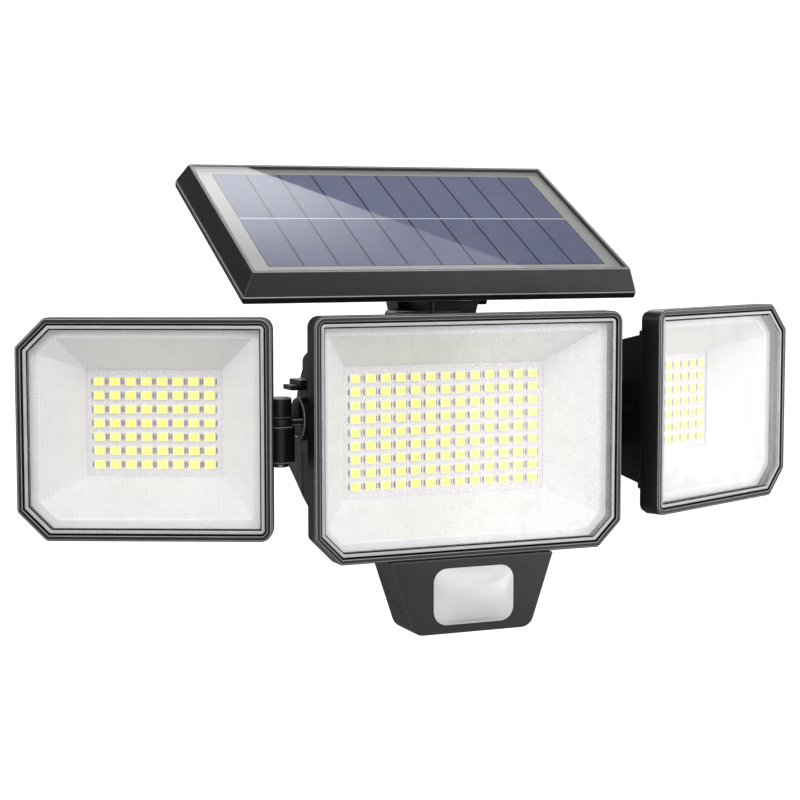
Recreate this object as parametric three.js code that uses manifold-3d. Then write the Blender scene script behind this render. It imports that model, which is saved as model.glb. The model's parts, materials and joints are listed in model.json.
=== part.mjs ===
// Solar flood light on a wall bracket, in millimetres, +Z up.
// The origin is the centre of the wall plate's back face: +Y points into the wall and the
// light faces -Y. A wide centre head carries a motion sensor below and a tilting solar
// panel above, and a smaller head swings on a hinge arm at each side.
// Inside the group `light` the origin is the centre of the centre head's front face.

import * as THREE from 'three';
import { mergeVertices } from 'three/addons/utils/BufferGeometryUtils.js';
import Module from 'manifold-3d';

const wasm = await Module();
wasm.setup();

// ---------------------------------------------------------------- driving dimensions

const GAP = 0.3; // clearance left between parts that touch
const LIGHT_FROM_WALL = 160; // centre head's front face to the wall
const LIGHT_DROP = 10; // wall plate's centre lies this far below the centre head's centre

const CENTER_HEAD = { width: 165, height: 119 };
const SIDE_HEAD = { width: 120.3, height: 105.2 };
const CENTER_CUT = 12.8; // lower corners of the centre head
const SIDE_CUT = 13.8; // outer corners of a side head
const CORNER_ROUND = 5.5;

const BEZEL_DEPTH = 10.2;
const BEZEL_WALL = 2.6;
const LEDGE = { inset: 5.4, front: 5, back: 7 }; // the lens and its gasket rest on it
const LENS = { inset: 3.6, front: 0.8, back: 3.7 };
const GASKET = { outerInset: 3.6, innerInset: 5.6, front: 4, back: 4.7 };
const FLANGE = { inset: 0.9, front: 10.5, back: 12.7 }; // front rim of each housing
const REFLECTOR = { flangeInset: 3.2, mouthInset: 10.2, front: 7.3, flangeBack: 8.5 };
const REFLECTOR_BACK = 34;
const REFLECTOR_WALL = 1.4;
const BOARD = { front: 34.4, back: 36 };

const HINGE = { x: 88, y: 35 }; // vertical swing axis of a side head
const SIDE_RAISE = 6.7; // side heads' centres above the centre head's
const SIDE_YAW = 24.5; // degrees that the side heads face outwards
const BARREL_IN_HEAD = { x: 60.2, y: 38.6 }; // the swing axis in a side head's own frame
const KNUCKLE_RADIUS = { upper: 6, lower: 7.5 };
const PIN_RADIUS = 2.4;
const DISC = { z: 8, radius: 10.7, inner: 75.6, outer: 79 }; // side tilt disc, axis along X

const BODY_HALF_WIDTH = 72;
const SHELL = 2.2; // wall thickness of the moulded housings
const COVER_SEAM = 46.4; // depth at which the rear cover meets the main housing

const PIVOT = { y: 100, z: -20, radius: 12, bolt: 3 }; // body tilt on the wall bracket
const PLATE = { width: 56, height: 100, thickness: 4 };
const FORK = { inner: 12.4, outer: 19 };
const LUG_HALF_WIDTH = 12;
const WALL_SCREWS = [[0, 42], [0, -42], [-22, 42], [22, -42]]; // from the plate's centre
const WALL_SCREW_HOLE = 2.6;
const FORK_ROOT = { outerTop: 22, innerTop: 8, innerLow: -38, outerLow: -48, gusset: 16 };

const TURRET = { y: 55, bottom: 56, radius: 22.5, top: 59 };
// The neck is stepped in plan: its left part stands further back than its right part.
const NECK = {
  left: -14.5, stepX: -9.9, right: 19, front: 34, stepFront: 62, back: 80, low: 58, top: 66,
};
const PANEL = { width: 205.7, depth: 118.3, tilt: 27.3, y: 81.8, z: 107.2 };
const PANEL_PIVOT = { y: 54, z: 76, radius: 7.6 };
const PANEL_SKIRT = { flare: 4.7, flareDepth: 11.6, depth: 15.4 };
const PANEL_STACK = { glassTop: -0.5, glassBack: -1.5, cellTop: -1.8, cellBack: -4.3 };
const PANEL_EAR = { inner: 7.4, outer: 13.4 };
const PANEL_BOLT = { radius: 2.5, bore: 2.8, head: 4.6, headHeight: 3 };
const PANEL_TAB = { left: 19.5, right: 25, ahead: 20, behind: 11, drop: 5 };

const SENSOR = { halfTop: 44, halfBottom: 31.5, top: -59.9, bottom: -97, back: 32 };
const SENSOR_LENS = { width: 43, height: 28, z: -78.5, bulge: 5 };
const BUTTON = { y: 16, radius: 5 };

// ---------------------------------------------------------------- shape helpers

const radians = THREE.MathUtils.degToRad;

// An outline is a list of [a, b] points, counter-clockwise with a to the right and b up.
function arc(a, b, radius, from, to, steps) {
  const points = [];
  for (let i = 0; i <= steps; i += 1) {
    const angle = radians(from + ((to - from) * i) / steps);
    points.push([a + radius * Math.cos(angle), b + radius * Math.sin(angle)]);
  }
  return points;
}

function circle(a, b, radius, steps = 20) {
  return arc(a, b, radius, 0, 360, steps).slice(0, -1);
}

function rectangle(left, right, low, high) {
  return [[left, low], [right, low], [right, high], [left, high]];
}

// A rectangle whose corners, from bottom left and counter-clockwise, are each rounded
// or cut: { round: radius } or { cut: length }. inset shrinks it evenly all round.
function panelOutline(width, height, corners, inset = 0) {
  const halfWidth = width / 2 - inset;
  const halfHeight = height / 2 - inset;
  const signs = [[-1, -1], [1, -1], [1, 1], [-1, 1]];
  return corners.flatMap((corner, i) => {
    const cut = corner.cut !== undefined;
    const wanted = cut ? corner.cut - inset * (2 - Math.SQRT2) : corner.round - inset;
    const size = Math.max(wanted, 0.5);
    const [a, b] = [signs[i][0] * (halfWidth - size), signs[i][1] * (halfHeight - size)];
    return arc(a, b, size, 180 + 90 * i, 270 + 90 * i, cut ? 1 : 4);
  });
}

function roundedRectangle(width, height, radius, centreA = 0, centreB = 0) {
  const corners = Array(4).fill({ round: radius });
  return panelOutline(width, height, corners).map(([a, b]) => [a + centreA, b + centreB]);
}

// Extrudes an outline along an axis. The outline's plane is (y, z) for x, (x, z) for y
// and (x, y) for z.
function extrude(outline, axis, from, to) {
  const shape = new THREE.Shape(outline.map(([a, b]) => new THREE.Vector2(a, b)));
  const geometry = new THREE.ExtrudeGeometry(shape, { depth: to - from, bevelEnabled: false });
  const turn = new THREE.Matrix4();
  if (axis === 'x') turn.set(0, 0, 1, from, 1, 0, 0, 0, 0, 1, 0, 0, 0, 0, 0, 1);
  if (axis === 'y') turn.set(1, 0, 0, 0, 0, 0, -1, to, 0, 1, 0, 0, 0, 0, 0, 1);
  if (axis === 'z') turn.set(1, 0, 0, 0, 0, 1, 0, 0, 0, 0, 1, from, 0, 0, 0, 1);
  return solid(geometry.applyMatrix4(turn));
}

// Joins outlines of equal length in the (x, z) plane, given front to back by depth y.
function loft(sections) {
  const count = sections[0].outline.length;
  const positions = sections.flatMap(({ y, outline }) => outline.flatMap(([x, z]) => [x, y, z]));
  const index = [];
  for (let s = 0; s < sections.length - 1; s += 1) {
    for (let i = 0; i < count; i += 1) {
      const next = (i + 1) % count;
      const [a, b] = [s * count + i, s * count + next];
      const [c, d] = [a + count, b + count];
      index.push(a, c, d, a, d, b);
    }
  }
  const flat = sections[0].outline.map(([a, b]) => new THREE.Vector2(a, b));
  const back = (sections.length - 1) * count;
  for (const [i, j, k] of THREE.ShapeUtils.triangulateShape(flat, [])) {
    index.push(i, j, k, back + i, back + k, back + j);
  }
  const geometry = new THREE.BufferGeometry();
  geometry.setAttribute('position', new THREE.Float32BufferAttribute(positions, 3));
  geometry.setIndex(index);
  return solid(geometry);
}

// The same, for (x, y) outlines given from the top down by height z.
function loftDown(sections) {
  const turned = sections.map(({ z, outline }) => ({ y: -z, outline }));
  return solid(geometryOf(loft(turned)).rotateX(-Math.PI / 2));
}

function solid(geometry) {
  const bare = new THREE.BufferGeometry();
  bare.setAttribute('position', geometry.getAttribute('position').clone());
  if (geometry.index) bare.setIndex(geometry.index);
  const welded = mergeVertices(bare, 1e-4);
  return new wasm.Manifold(new wasm.Mesh({
    numProp: 3,
    vertProperties: new Float32Array(welded.getAttribute('position').array),
    triVerts: new Uint32Array(welded.index.array),
  }));
}

function geometryOf(shape) {
  const { vertProperties, triVerts } = shape.getMesh();
  const geometry = new THREE.BufferGeometry();
  geometry.setAttribute('position', new THREE.BufferAttribute(vertProperties, 3));
  geometry.setIndex(new THREE.BufferAttribute(triVerts, 1));
  return geometry;
}

function joined(...shapes) {
  return shapes.reduce((whole, shape) => whole.add(shape));
}

function cut(shape, ...tools) {
  return tools.reduce((rest, tool) => rest.subtract(tool), shape);
}

// The same solid reflected left to right.
function mirrored(shape) {
  const geometry = geometryOf(shape);
  const position = geometry.getAttribute('position');
  for (let i = 0; i < position.count; i += 1) position.setX(i, -position.getX(i));
  const index = geometry.index.array;
  for (let i = 0; i < index.length; i += 3) [index[i], index[i + 1]] = [index[i + 1], index[i]];
  return solid(geometry);
}

// ---------------------------------------------------------------- materials

function material(color, roughness, metalness = 0) {
  return new THREE.MeshStandardMaterial({ color, roughness, metalness });
}

const black = material(0x1c1d1f, 0.45);
const rubber = material(0x101010, 0.8);
const clear = new THREE.MeshStandardMaterial({
  color: 0xeef1f4, roughness: 0.1, transparent: true, opacity: 0.35,
});
const white = material(0xf2f2f2, 0.35);
const board = material(0xe9e4e2, 0.5);
const boardGreen = material(0x1f5a34, 0.5);
const steel = material(0xa9adb2, 0.3, 0.9);
const cells = material(0x2b3566, 0.2, 0.3);
const glass = material(0xb9c2cc, 0.05);
const wrap = material(0x2f7dbf, 0.35);

function place(parent, name, shape, finish) {
  const mesh = new THREE.Mesh(geometryOf(shape), finish);
  mesh.name = name;
  parent.add(mesh);
}

// ---------------------------------------------------------------- lamp head pieces
// Each is built about the centre of its head's front face, with depth along +Y.

function makeBezel(size, corners) {
  const outline = (inset) => panelOutline(size.width, size.height, corners, inset);
  const ring = cut(extrude(outline(0), 'y', 0, BEZEL_DEPTH),
    extrude(outline(BEZEL_WALL), 'y', -1, BEZEL_DEPTH + 1));
  const ledge = cut(extrude(outline(BEZEL_WALL - 0.2), 'y', LEDGE.front, LEDGE.back),
    extrude(outline(LEDGE.inset), 'y', LEDGE.front - 1, LEDGE.back + 1));
  return joined(ring, ledge);
}

function makeGasket(size, corners) {
  const outline = (inset) => panelOutline(size.width, size.height, corners, inset);
  return cut(extrude(outline(GASKET.outerInset), 'y', GASKET.front, GASKET.back),
    extrude(outline(GASKET.innerInset), 'y', GASKET.front - 1, GASKET.back + 1));
}

function makeLens(size, corners) {
  return extrude(panelOutline(size.width, size.height, corners, LENS.inset), 'y',
    LENS.front, LENS.back);
}

// A sloping white dish: a flat rim behind the ledge, then walls down to the lamp board.
function makeReflector(size, corners, opening) {
  const outline = (inset) => panelOutline(size.width, size.height, corners, inset);
  const well = (spread) => corners.map((corner) => (
    corner.cut !== undefined ? { cut: 2.5 + spread } : { round: 2.5 + spread }));
  const floor = (spread) => panelOutline(
    opening.width + 2 * spread, opening.height + 2 * spread, well(spread));
  const rim = extrude(outline(REFLECTOR.flangeInset), 'y',
    REFLECTOR.front, REFLECTOR.flangeBack);
  const outer = loft([
    { y: REFLECTOR.front, outline: outline(REFLECTOR.mouthInset - REFLECTOR_WALL) },
    { y: REFLECTOR_BACK, outline: floor(REFLECTOR_WALL) },
  ]);
  const inner = loft([
    { y: REFLECTOR.front, outline: outline(REFLECTOR.mouthInset) },
    { y: REFLECTOR_BACK, outline: floor(0) },
  ]);
  const mouth = extrude(outline(REFLECTOR.mouthInset), 'y', REFLECTOR.front - 1,
    REFLECTOR.front + 0.01);
  const end = extrude(floor(0), 'y', REFLECTOR_BACK - 0.01, REFLECTOR_BACK + 1);
  return cut(joined(rim, outer), inner, mouth, end);
}

function makeLampBoard(opening) {
  const border = 6;
  return extrude(roundedRectangle(opening.width + border, opening.height + border, 1), 'y',
    BOARD.front, BOARD.back);
}

// ---------------------------------------------------------------- side heads

const SIDE_CORNERS = [
  { cut: SIDE_CUT }, { round: CORNER_ROUND }, { round: CORNER_ROUND }, { cut: SIDE_CUT },
];
const SIDE_OPENING = { width: 66, height: 52 };

// The left head's back shell: a stepped, tapering cup with two hinge knuckles at its
// inner edge.
function makeSideHousing() {
  const outline = (inset) => (
    panelOutline(SIDE_HEAD.width, SIDE_HEAD.height, SIDE_CORNERS, inset));
  const back = 39;
  const cup = (wall, end) => loft([
    { y: FLANGE.front - (wall ? 1 : 0), outline: outline(7.4 + wall) },
    { y: 22, outline: outline(11.4 + wall) },
    { y: 22, outline: outline(13.4 + wall) },
    { y: end, outline: outline(18 + wall) },
  ]);
  const flange = extrude(outline(FLANGE.inset), 'y', FLANGE.front, FLANGE.back);
  const { x, y } = BARREL_IN_HEAD;
  const knuckle = (radius, low, high) => joined(
    extrude(circle(x, y, radius), 'z', low, high),
    extrude(rectangle(38, x, y - 5, y + 4), 'z', low + 0.5, high - 0.5));
  const ramp = extrude([[40, 11], [x - 7, 11], [x - 10, 14.2], [40, 14.2]], 'y', y - 4, y + 3);
  return cut(
    joined(
      flange,
      cup(0, back),
      knuckle(KNUCKLE_RADIUS.upper, 9 - SIDE_RAISE, 19 - SIDE_RAISE),
      knuckle(KNUCKLE_RADIUS.lower, -12.9 - SIDE_RAISE, 5.3 - SIDE_RAISE),
      ramp),
    cup(SHELL, back - SHELL),
    extrude(circle(x, y, PIN_RADIUS + GAP), 'z', -40, 40));
}

// Headed hinge pin through both knuckles and the arm's eye.
function makeHingePin() {
  const { x, y } = BARREL_IN_HEAD;
  return joined(
    extrude(circle(x, y, PIN_RADIUS, 20), 'z', -13.4 - SIDE_RAISE, 18.6 - SIDE_RAISE),
    extrude(circle(x, y, 4.6, 20), 'z', -15 - SIDE_RAISE, -13.2 - SIDE_RAISE));
}

const sideHead = {
  housing: [makeSideHousing(), black],
  bezel: [makeBezel(SIDE_HEAD, SIDE_CORNERS), black],
  gasket: [makeGasket(SIDE_HEAD, SIDE_CORNERS), rubber],
  lens: [makeLens(SIDE_HEAD, SIDE_CORNERS), clear],
  reflector: [makeReflector(SIDE_HEAD, SIDE_CORNERS, SIDE_OPENING), white],
  led_board: [makeLampBoard(SIDE_OPENING), board],
  hinge_pin: [makeHingePin(), steel],
};

// The arm between the left head and the main body: a tilt disc, a flat plate that ends in
// the hinge eye, and a rib that stiffens the plate.
function makeHingeArm() {
  const { x, y } = HINGE;
  const [low, high] = [5.6, 8.7];
  const disc = extrude(circle(y, DISC.z, DISC.radius, 28), 'x', -DISC.outer, -DISC.inner);
  const plate = joined(
    extrude(circle(-x, y, 8.2), 'z', low, high),
    extrude(rectangle(-x, -DISC.outer + 1, y - 7, y + 7), 'z', low, high));
  const rib = extrude([[-81.6, high - 0.2], [-78.6, high - 0.2], [-78.6, 17.6], [-79.8, 17.6]],
    'y', y - 4, y + 4);
  return cut(
    joined(disc, plate, rib),
    extrude(circle(-x, y, PIN_RADIUS + GAP), 'z', 0, 20),
    extrude(circle(y, DISC.z, 2.3, 16), 'x', -78.2, -70));
}

// Screw from inside the main housing into the tilt disc.
function makeArmScrew() {
  const { y } = HINGE;
  return joined(
    extrude(circle(y, DISC.z, 2, 16), 'x', -78, -69),
    extrude(circle(y, DISC.z, 4.4, 20), 'x', -69.4, -66.6));
}

// ---------------------------------------------------------------- centre head and main body

const CENTER_CORNERS = [
  { cut: CENTER_CUT }, { cut: CENTER_CUT }, { round: CORNER_ROUND }, { round: CORNER_ROUND },
];
const CENTER_OPENING = { width: 110, height: 66 };

// A section of the main body at depth y, from height low to high, with cut corners.
function bodySection(y, halfWidth, high, low, wall = 0) {
  const corner = Math.min(3, (high - low) / 4);
  const corners = Array(4).fill({ cut: corner });
  const outline = panelOutline(2 * halfWidth, high - low, corners, wall);
  return { y, outline: outline.map(([x, z]) => [x, z + (high + low) / 2]) };
}

// Screws through the rear cover, as [x, z], and the depth of their heads' seats.
const coverScrewPlaces = [[-65.4, 21], [65.4, 21], [-65.4, -24], [65.4, -24]];
const COVER_SCREW_SEAT = 51;

function makeMainHousing() {
  const outline = (inset) => (
    panelOutline(CENTER_HEAD.width, CENTER_HEAD.height, CENTER_CORNERS, inset));
  const flange = extrude(outline(FLANGE.inset), 'y', FLANGE.front, FLANGE.back);
  const shell = loft([
    bodySection(FLANGE.front, 77.5, 53, -53),
    bodySection(24, BODY_HALF_WIDTH, 48, -46.6),
    bodySection(39.8, BODY_HALF_WIDTH, 42.4, -38.6),
    bodySection(COVER_SEAM, BODY_HALF_WIDTH, 39.4, -35.2),
  ]);
  const hollow = loft([
    bodySection(FLANGE.front - 1, 77.5, 53, -53, SHELL),
    bodySection(24, BODY_HALF_WIDTH, 48, -46.6, SHELL),
    bodySection(39.8, BODY_HALF_WIDTH, 42.4, -38.6, SHELL),
    bodySection(COVER_SEAM + 1, BODY_HALF_WIDTH, 39, -34.8, SHELL),
  ]);
  const partition = extrude(rectangle(-60, 60, -38, 42), 'y', 37, 39.4);
  const tower = extrude(
    [[14, 44], [44, 36], [56, 36], [78, 49], [78, 55.7], [14, 55.7]], 'x', -25, 25);
  const shoulder = extrude([[12, 50], [24, 45], [24, 55.7], [12, 55.7]], 'x', -25, 25);
  const hingePads = [-1, 1].map((side) => {
    const at = (from, to) => (side < 0 ? [-to, -from] : [from, to]);
    return joined(
      extrude(rectangle(21, 46, -9, 24), 'x', ...at(BODY_HALF_WIDTH - 1, 73.6)),
      extrude(circle(HINGE.y, DISC.z, DISC.radius, 28), 'x', ...at(73, DISC.inner - GAP)),
      extrude(rectangle(27, 43, 24, 27.5), 'x', ...at(BODY_HALF_WIDTH - 1, 80)),
      extrude(rectangle(29, 41, 22.5, 25), 'x', ...at(BODY_HALF_WIDTH - 1, 84)));
  });
  const body = joined(flange, shell, tower, shoulder, ...hingePads);
  const wireHole = extrude(circle(20, 10, 6, 20), 'y', 30, 45);
  const bosses = coverScrewPlaces.map(([x, z]) => (
    extrude(circle(x, z, 4.8, 14), 'y', 39.6, COVER_SEAM)));
  return cut(
    joined(cut(body, hollow), partition, ...bosses),
    wireHole,
    extrude(circle(0, TURRET.y, 7.4), 'z', 30, 60),
    extrude(circle(0, TURRET.y, 10.5), 'z', 30, 46.2),
    extrude(circle(HINGE.y, DISC.z, 2.3, 16), 'x', -90, 90),
    ...coverScrewPlaces.map(([x, z]) => extrude(circle(x, z, 1.8, 8), 'y', 38, 60)));
}

// The battery cover behind the main housing, with the tongue that the bracket holds.

function makeRearCover() {
  const front = COVER_SEAM + GAP;
  const shell = loft([
    bodySection(front, BODY_HALF_WIDTH, 34, -35),
    bodySection(54.4, 71.4, 25.4, -31.2),
    bodySection(64.4, 70.8, 3.2, -26.2),
    bodySection(74, 70, -17.8, -21.4),
  ]);
  const tongue = extrude([
    [60, 10], [72, 0], ...arc(PIVOT.y, PIVOT.z, PIVOT.radius, 90, -90, 12), [66, -26], [60, -26],
  ], 'x', -LUG_HALF_WIDTH, LUG_HALF_WIDTH);
  const hollow = loft([
    bodySection(front - 1, 69.8, 31.4, -33),
    bodySection(54.4, 69.2, 20.4, -28.7),
    bodySection(64.4, 68.6, -2.2, -23.7),
    bodySection(70.4, 68, -15.6, -20.8),
  ]);
  const bosses = coverScrewPlaces.map(([x, z]) => (
    extrude(circle(x, z, 5, 14), 'y', front, 62).intersect(shell)));
  return cut(
    joined(cut(joined(shell, tongue), hollow), ...bosses),
    ...coverScrewPlaces.flatMap(([x, z]) => [
      extrude(circle(x, z, 1.8, 8), 'y', 40, 70),
      extrude(circle(x, z, 3.4, 14), 'y', COVER_SCREW_SEAT, 70),
    ]),
    extrude(circle(PIVOT.y, PIVOT.z, PIVOT.bolt + GAP), 'x', -20, 20));
}

function makeCoverScrew([x, z]) {
  const seat = COVER_SCREW_SEAT + GAP;
  return joined(
    extrude(circle(x, z, 1.5, 8), 'y', seat - 11, seat + 0.5),
    extrude(circle(x, z, 3, 14), 'y', seat, seat + 1.8));
}

function makeBatteryCell(y, z) {
  return extrude(circle(y, z, 9.2, 32), 'x', -60, 5);
}

function makeControllerBoard() {
  return extrude(rectangle(12, 58, -22, 24), 'y', 42, 43.6);
}

// ---------------------------------------------------------------- motion sensor

function sensorOutline(inset) {
  const radius = 7 - inset;
  const slope = (SENSOR.halfTop - SENSOR.halfBottom) / (SENSOR.top - SENSOR.bottom);
  const low = SENSOR.bottom + inset;
  const side = SENSOR.halfBottom + slope * inset - inset * Math.hypot(1, slope);
  const lean = (Math.atan(slope) * 180) / Math.PI;
  const reach = radius * Math.tan(radians((90 - lean) / 2));
  const centre = side - reach;
  return [
    [-SENSOR.halfTop + inset * 1.05, SENSOR.top - (inset ? 2 : 0)],
    ...arc(-centre, low + radius, radius, 180 + lean, 270, 5),
    ...arc(centre, low + radius, radius, 270, 360 - lean, 5),
    [SENSOR.halfTop - inset * 1.05, SENSOR.top - (inset ? 2 : 0)],
  ];
}

// The sensor's trapezoid housing, open above into the neck that joins the main housing.
function makeSensorHousing() {
  const shell = loft([
    { y: 0, outline: sensorOutline(0) },
    { y: 24, outline: sensorOutline(0) },
    { y: SENSOR.back, outline: sensorOutline(4) },
  ]);
  const neck = extrude([[13.2, -62.5], [31, -62.5], [31, -43.8], [24, -47.3], [13.2, -52.6]], 'x',
    -36, 36);
  const hollow = loft([
    { y: 2, outline: sensorOutline(2) },
    { y: 23, outline: sensorOutline(2) },
    { y: 30, outline: sensorOutline(5) },
  ]);
  const throat = extrude(rectangle(-33, 33, 15.4, 28.8), 'z', -70, -30);
  const window = extrude(roundedRectangle(40, 25, 5.5, 0, SENSOR_LENS.z), 'y', -1, 3);
  const buttonHole = extrude(circle(0, BUTTON.y, BUTTON.radius + GAP), 'z', -100, -90);
  return cut(joined(shell, neck), hollow, throat, window, buttonHole);
}

// White domed lens with a plug that enters the window, hollow behind.
function makeSensorLens() {
  const { width, height, z, bulge } = SENSOR_LENS;
  const section = (y, w, h, radius) => ({ y, outline: roundedRectangle(w, h, radius, 0, z) });
  const dome = loft([
    section(-bulge, 14, 7, 3),
    section(-bulge * 0.92, 25, 14, 5),
    section(-bulge * 0.7, 35, 21.5, 6),
    section(-bulge * 0.36, 41.2, 26.4, 6.6),
    section(-GAP, width, height, 7),
    section(-GAP, width - 3.8, height - 3.8, 5),
    section(3, width - 3.8, height - 3.8, 5),
  ]);
  const hollow = loft([
    section(-bulge * 0.6, 24, 12, 4),
    section(-bulge * 0.2, 34, 20, 4),
    section(4, 35.6, 20.6, 4),
  ]);
  return cut(dome, hollow);
}

function makeSensorCan() {
  const can = extrude(circle(0, SENSOR_LENS.z, 4.1, 24), 'y', 6.5, 11.5);
  return joined(can, extrude(circle(0, SENSOR_LENS.z, 4.7, 24), 'y', 11, 12));
}

function makeModeButton() {
  return joined(
    extrude(circle(0, BUTTON.y, BUTTON.radius), 'z', -98.6, -94),
    extrude(circle(0, BUTTON.y, BUTTON.radius + 1.4), 'z', -94.6, -93.6));
}

// ---------------------------------------------------------------- solar panel

// The turret: a turntable on the tower, a tapered neck and the tongue for the tilt bolt.
function makeTurret() {
  const table = extrude(circle(0, TURRET.y, TURRET.radius, 32), 'z', TURRET.bottom, TURRET.top);
  const spigot = extrude(circle(0, TURRET.y, 7), 'z', 46.4, TURRET.bottom + 1);
  const { front, stepFront, back, low, top } = NECK;
  const tapered = (left, right, near) => {
    const [width, depth] = [right - left, back - near];
    const ring = (z, less) => ({
      z,
      outline: roundedRectangle(
        width - less, depth - less, 1.2, (left + right) / 2, (near + back) / 2),
    });
    return loftDown([ring(top, 0), ring(low, 3)]);
  };
  const block = joined(
    tapered(NECK.stepX, NECK.right, front), tapered(NECK.left, NECK.stepX + 4, stepFront));
  const { y, z } = PANEL_PIVOT;
  const tongue = joined(
    extrude(circle(y, z, 8), 'x', -7, 7),
    extrude(rectangle(y - 8, y + 8, 64, z), 'x', -7, 7));
  const slope = extrude([[30, 62.5], [38, 66.1], [38, 70], [30, 70]], 'x', -20, 20);
  return cut(
    joined(table, spigot, cut(block, slope), tongue),
    extrude(circle(y, z, 2.8, 20), 'x', -20, 20),
    extrude(circle(0, TURRET.y, 2.3, 16), 'z', 40, 54.5));
}

function makeTurretScrew() {
  return joined(
    extrude(circle(0, TURRET.y, 10, 28), 'z', 42.6, 45.9),
    extrude(circle(0, TURRET.y, 2, 16), 'z', 45, 54));
}

// The panel's own frame: origin at the centre of its top face, +Z out of the glass.
function panelRing(spread, z, radius = 3) {
  return {
    z,
    outline: roundedRectangle(PANEL.width + 2 * spread, PANEL.depth + 2 * spread, radius),
  };
}

function makePanelTray() {
  const { flare, flareDepth, depth } = PANEL_SKIRT;
  const outer = loftDown([
    panelRing(0, 0), panelRing(flare, -flareDepth), panelRing(flare - 0.4, -depth),
  ]);
  const hollow = loftDown([
    panelRing(-1.4, -6), panelRing(flare - 2.4, -flareDepth), panelRing(flare - 2.4, -depth - 1),
  ]);
  return cut(outer, loftDown([panelRing(-1.4, 1, 2), panelRing(-1.4, -4.6, 2)]), hollow);
}

function makePanelGlass() {
  return loftDown([
    panelRing(-1.7, PANEL_STACK.glassTop, 1.8), panelRing(-1.7, PANEL_STACK.glassBack, 1.8),
  ]);
}

function makePanelCells() {
  return loftDown([
    panelRing(-2, PANEL_STACK.cellTop, 1.6), panelRing(-2, PANEL_STACK.cellBack, 1.6),
  ]);
}

// The hinge axis in the panel's own frame.
function pivotInPanel() {
  const tilt = radians(PANEL.tilt);
  const [dy, dz] = [PANEL_PIVOT.y - PANEL.y, PANEL_PIVOT.z - PANEL.z];
  return [
    dy * Math.cos(tilt) + dz * Math.sin(tilt),
    dz * Math.cos(tilt) - dy * Math.sin(tilt),
  ];
}

// The underside of the panel, with the two hinge ears and a slot for the turret's tongue.
function makePanelBase() {
  const [y, z] = pivotInPanel();
  const { flare, depth } = PANEL_SKIRT;
  const plate = loftDown([
    panelRing(flare - 2.8, -depth + 2), panelRing(flare - 2.8, -depth),
  ]);
  const { inner, outer } = PANEL_EAR;
  const { radius } = PANEL_PIVOT;
  const ears = [[-outer, -inner], [inner, outer]].map(([from, to]) => joined(
    extrude(circle(y, z, radius), 'x', from, to),
    extrude(rectangle(y - radius, y + radius, z, -depth + 1), 'x', from, to)));
  const { left, right, ahead, behind, drop } = PANEL_TAB;
  const tab = extrude(
    rectangle(y - ahead, y - behind, -depth - drop, -depth + 0.5), 'x', left, right);
  const clearance = [[-outer - 5, -outer], [outer, outer + 5]].map(([from, to]) => (
    extrude(circle(y, z, PANEL_BOLT.head + 0.8), 'x', from, to)));
  return cut(
    joined(plate, ...ears, tab),
    extrude(circle(y, z, radius + 1.9, 32), 'x', -inner, inner),
    ...clearance,
    extrude(circle(y, z, PANEL_BOLT.bore, 20), 'x', -20, 20));
}

function makeTiltBolt(y, z, radius, head, from, to) {
  return joined(
    extrude(circle(y, z, radius, 20), 'x', from, to),
    extrude(circle(y, z, head.radius, 6), 'x', from - head.height, from + 0.2));
}

function makeNut(y, z, bore, radius, from, to, sides = 6) {
  return cut(extrude(circle(y, z, radius, sides), 'x', from, to),
    extrude(circle(y, z, bore, 20), 'x', from - 1, to + 1));
}

// ---------------------------------------------------------------- wall bracket

function makeWallBracket() {
  const wall = LIGHT_FROM_WALL;
  const plate = extrude(roundedRectangle(PLATE.width, PLATE.height, 5, 0, -LIGHT_DROP), 'y',
    wall - PLATE.thickness, wall);
  const { outerTop, innerTop, innerLow, outerLow, gusset } = FORK_ROOT;
  const armOutline = [
    [wall - 2, outerLow], [wall - 2, outerTop], [wall - gusset, innerTop],
    ...arc(PIVOT.y, PIVOT.z, PIVOT.radius, 90, 270, 14), [wall - gusset, innerLow],
  ];
  const arms = [[-FORK.outer, -FORK.inner], [FORK.inner, FORK.outer]].map(([from, to]) => (
    extrude(armOutline, 'x', from, to)));
  const screwHoles = WALL_SCREWS.map(([x, z]) => (
    extrude(circle(x, z - LIGHT_DROP, WALL_SCREW_HOLE, 20), 'y', wall - 10, wall + 1)));
  return cut(
    joined(plate, ...arms),
    ...screwHoles,
    extrude(circle(PIVOT.y, PIVOT.z, PIVOT.bolt + GAP), 'x', -30, 30));
}

// ---------------------------------------------------------------- assembly

const object = new THREE.Group();
const light = new THREE.Group();
light.position.set(0, -LIGHT_FROM_WALL, LIGHT_DROP);
object.add(light);

// Wall bracket and the bolt that the main body tilts on.
place(light, 'wall_bracket', makeWallBracket(), black);
place(light, 'body_tilt_bolt',
  makeTiltBolt(PIVOT.y, PIVOT.z, PIVOT.bolt, { radius: 6, height: 4 }, -19.4, 26), steel);
place(light, 'body_tilt_knob',
  makeNut(PIVOT.y, PIVOT.z, PIVOT.bolt + GAP, 8.5, 19.3, 26.5, 12), black);

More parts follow.
